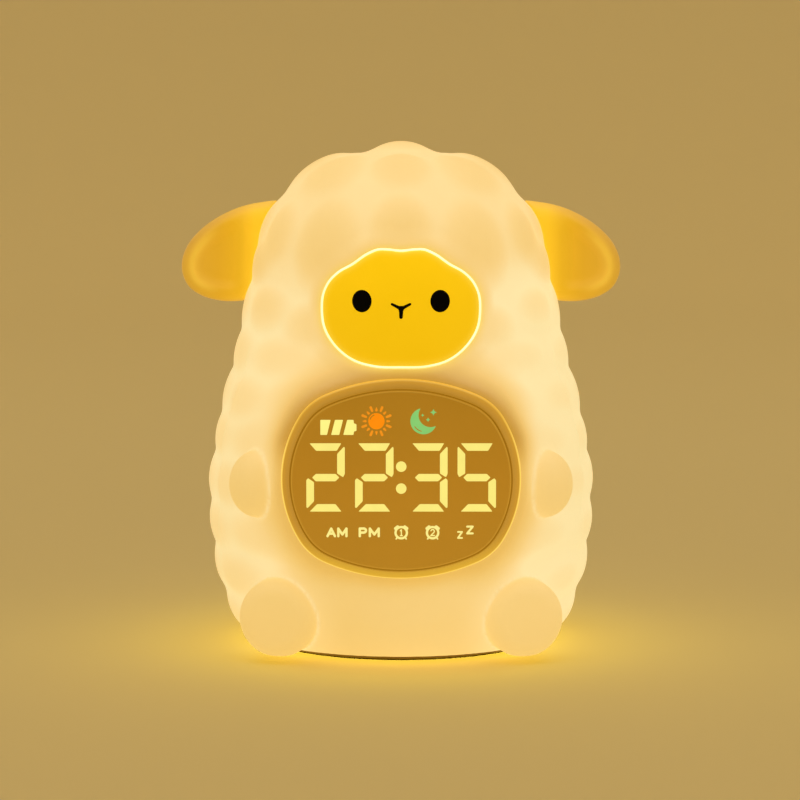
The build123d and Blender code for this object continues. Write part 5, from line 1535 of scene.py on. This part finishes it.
def note(cx, cz):
    lines = [[(cx - 0.5, cz - 0.75), (cx - 0.5, cz + 0.95), (cx + 0.75, cz + 1.15), (cx + 0.75, cz - 0.5)]]
    a = strokes(lines, 0.13)
    return lambda x, z: np.minimum(a(x, z), np.minimum(np.hypot((x - cx + 0.78) / 1.2, z - cz + 0.82), np.hypot((x - cx - 0.47) / 1.2, z - cz + 0.57)) - 0.34)


def bell(cx, cz):
    lines = [[(cx - 0.95, cz - 0.62), (cx - 0.68, cz - 0.25), (cx - 0.68, cz + 0.15)] + arc(cx, cz + 0.22, 0.68, 180, 0, 14) + [(cx + 0.68, cz - 0.25), (cx + 0.95, cz - 0.62), (cx - 0.95, cz - 0.62)]]
    a = strokes(lines, 0.13)
    return lambda x, z: np.minimum(a(x, z), np.hypot(x - cx, z - cz + 1.0) - 0.22)


def text(s, cx, cz, high, r):
    lines, end = word(s, 0.0, 0.0, high, r, 0.36)
    return strokes([[(cx - end / 2 + px, cz - high / 2 + pz) for px, pz in l] for l in lines], r)


for name, cx, cz, f in (("light", -10.0, 64.9, bulb), ("sound", 0.0, 64.9, note), ("alarm", 10.0, 64.9, bell)):
    rear_print("print_" + name, f(seen(cx), cz), (seen(cx) - 2.4, seen(cx) + 2.4, cz - 2.2, cz + 2.2))
for name, s, cx, cz in (("plus", "+", -10.0, 55.0), ("set", "SET", 0.0, 55.0), ("minus", "-", 10.0, 55.0), ("off", "OFF", 12.6, 43.2), ("on", "ON", 3.9, 43.2)):
    rear_print("print_" + name, text(s, seen(cx), cz, 1.45, 0.15), (seen(cx) - 3.4, seen(cx) + 3.4, cz - 1.6, cz + 1.6))

# ------------------------------------------------------------------ finishes of the parts that keep their CAD shape
FINISH = {
    "clear_plastic": dict(colour=(0.62, 0.55, 0.38), rough=0.22), "white_abs": dict(colour=(0.72, 0.70, 0.64), rough=0.42),
    "diffuser": dict(colour=(0.70, 0.62, 0.38), rough=0.5, glow=(0.35, 0.27, 0.08)), "pcb": dict(colour=(0.02, 0.13, 0.05), rough=0.35, coat=0.35, vary=0.2),
    "led": dict(colour=(0.75, 0.62, 0.22), rough=0.25, glow=(1.2, 0.85, 0.35)), "screw_steel": dict(colour=(0.52, 0.51, 0.49), rough=0.30, metal=1.0, grain=2200.0, stretch=(1.0, 1.0, 6.0)),
    "dome_plastic": dict(colour=(0.80, 0.72, 0.52), rough=0.38, glow=(0.30, 0.22, 0.09)), "base_plastic": dict(colour=(0.20, 0.125, 0.035), rough=0.5),
    "foot_rubber": dict(colour=(0.07, 0.045, 0.018), rough=0.78, grain=1600.0, bump=0.00004, spec=0.3), "battery_wrap": dict(colour=(0.03, 0.10, 0.30), rough=0.3, coat=0.25),
    "speaker_steel": dict(colour=(0.30, 0.30, 0.30), rough=0.36, metal=1.0), "speaker_cone": dict(colour=(0.03, 0.03, 0.032), rough=0.82, grain=2400.0, bump=0.00005, vary=0.2),
    "magnet": dict(colour=(0.09, 0.09, 0.095), rough=0.45, metal=0.7), "lamp_pcb": dict(colour=(0.72, 0.72, 0.68), rough=0.3, coat=0.3),
    "panel_plastic": dict(colour=(0.50, 0.37, 0.17), rough=0.44, glow=(0.20, 0.108, 0.024)), "black_plastic": dict(colour=(0.018, 0.017, 0.016), rough=0.42),
    "knob_plastic": dict(colour=(0.30, 0.19, 0.06), rough=0.42, glow=(0.05, 0.03, 0.006)), "connector_steel": dict(colour=(0.60, 0.60, 0.58), rough=0.24, metal=1.0, grain=2600.0, stretch=(1.0, 5.0, 1.0)),
    "chip": dict(colour=(0.022, 0.022, 0.024), rough=0.55, grain=3000.0, bump=0.00002), "connector_plastic": dict(colour=(0.66, 0.63, 0.55), rough=0.46),
    "wire_red": dict(colour=(0.45, 0.02, 0.015), rough=0.38), "wire_black": dict(colour=(0.018, 0.018, 0.018), rough=0.40), "wire_white": dict(colour=(0.62, 0.60, 0.55), rough=0.38),
    "button_rubber": dict(colour=(0.80, 0.70, 0.45), rough=0.50, grain=1600.0, bump=0.00003, glow=(0.30, 0.21, 0.085)),
    "bezel_plastic": dict(colour=(0.34, 0.20, 0.035), rough=0.4), "window_plastic": dict(colour=(0.16, 0.085, 0.014), rough=0.3),
    "silicone": dict(colour=(0.50, 0.41, 0.27), rough=0.58), "ear_silicone": dict(colour=(0.40, 0.235, 0.03), rough=0.5), "face_plastic": dict(colour=(0.46, 0.30, 0.022), rough=0.45),
}
made = {}
for name, ob in NODES.items():
    kind = ob.data.materials[0].name.split(".")[0] if ob.data.materials and ob.data.materials[0] else "white_abs"
    if kind not in FINISH:
        print("no finish for", name, kind)
        kind = "white_abs"
    if kind not in made:
        made[kind] = plastic("finish_" + kind, **FINISH[kind])
    for s in ob.material_slots:
        s.material = made[kind]

# ------------------------------------------------------------------ floor, backdrop and light
FLOOR_R, WALL_R, WALL_H = 1.3, 2.6, 3.2
profile = [(0.0, 0.0)] + [(0.030 + 0.004 * k, 0.0) for k in range(16)] + [(FLOOR_R * k / 12, 0.0) for k in range(1, 13)]
profile += [(FLOOR_R + (WALL_R - FLOOR_R) * math.sin(a), (WALL_R - FLOOR_R) * (1 - math.cos(a))) for a in np.linspace(0, math.pi / 2, 25)[1:]]
profile += [(WALL_R, z) for z in (1.7, 2.2, 2.7, WALL_H)]
n = 144
V, F, rings = [], [], []
for r, z in profile:
    if r == 0.0:
        rings.append([0])
        V.append((0.0, 0.0, 0.0))
        continue
    rings.append(list(range(len(V), len(V) + n)))
    V += [(r * math.cos(2 * math.pi * i / n), r * math.sin(2 * math.pi * i / n), z) for i in range(n)]
for a, b in zip(rings, rings[1:]):
    for i in range(n):
        j = (i + 1) % n
        F.append((a[0], b[j], b[i]) if len(a) == 1 else (a[i], a[j], b[j], b[i]))
me = bpy.data.meshes.new("floor")
me.from_pydata(V, [], F)
me.polygons.foreach_set("use_smooth", np.ones(len(me.polygons), bool))
P = np.array(V)
rho = np.hypot(P[:, 0], P[:, 1])
# Painted light: the paper's colour changes with distance out and up the wall, lighter further out and darker again near
# the top, standing in for how the studio light falls.
put(me, "far", (rho + P[:, 2]) / 3.0)
# Painted shadow: the floor is darker in a ring round the body's foot, most between the feet at the front.
front = step(-P[:, 1], 0.025, 0.045) * (1.0 - step(np.abs(P[:, 0]), 0.024, 0.044))
put(me, "contact_shadow", (0.35 + 0.65 * front) * np.exp(-((np.maximum(rho - 0.052, 0.0) / 0.014) ** 2)))
floor = bpy.data.objects.new("floor", me)
SCENE.collection.objects.link(floor)
m = Nodes("floor_paper")
far = m.math("ADD", m.attr("far"), m.range(m.noise(1.4, 2.0), -0.01, 0.01, 0.3, 0.7))
paper = m.ramp(far, [(0.05, (0.548, 0.430, 0.193)), (0.167, (0.575, 0.452, 0.203)), (0.5, (0.622, 0.487, 0.217)), (0.947, (0.592, 0.468, 0.212))])
m.to(m.mix(m.attr("contact_shadow"), paper, (0.42, 0.300, 0.175)), "Base Color")
m.to(m.range(m.noise(300.0, 3.0), 0.62, 0.75, 0.3, 0.7), "Roughness")
m.p.inputs["Specular IOR Level"].default_value = 0.0
me.materials.append(m.m)

world = bpy.data.worlds.new("studio")
SCENE.world = world
world.use_nodes = True
bg = world.node_tree.nodes["Background"]
bg.inputs[0].default_value = (1.0, 0.93, 0.80, 1.0)
bg.inputs[1].default_value = 1.26


def area(name, at, size, power, colour, target=(0.0, 0.0, 0.07)):
    d = bpy.data.lights.new(name, "AREA")
    d.shape = "RECTANGLE"
    d.size, d.size_y = size
    d.energy = power
    d.color = colour
    ob = bpy.data.objects.new(name, d)
    SCENE.collection.objects.link(ob)
    ob.location = at
    ob.rotation_euler = (Vector(target) - Vector(at)).to_track_quat("-Z", "Y").to_euler()
    return ob


area("top", (0.0, -0.1, 1.7), (1.6, 1.6), 2.3, (1.0, 0.90, 0.74))
area("left", (-1.2, -0.9, 1.0), (0.9, 1.1), 1.6, (1.0, 0.90, 0.74))
area("right", (1.2, -0.9, 1.0), (0.9, 1.1), 1.6, (1.0, 0.90, 0.74))
# the lamp's own glow on what it stands on
d = bpy.data.lights.new("lamp_glow", "POINT")
d.energy, d.color, d.shadow_soft_size = 0.38, (1.0, 0.90, 0.14), 0.01
d.use_shadow = False
ob = bpy.data.objects.new("lamp_glow", d)
SCENE.collection.objects.link(ob)
ob.location = (0.0, -0.008, 0.014)
lit_by_glow = bpy.data.collections.new("lit_by_glow")
lit_by_glow.objects.link(floor)
ob.light_linking.receiver_collection = lit_by_glow

SCENE.view_settings.view_transform = "Standard"
SCENE.view_settings.look = "None"
SCENE.view_settings.exposure = 0.0
SCENE.view_settings.gamma = 1.0
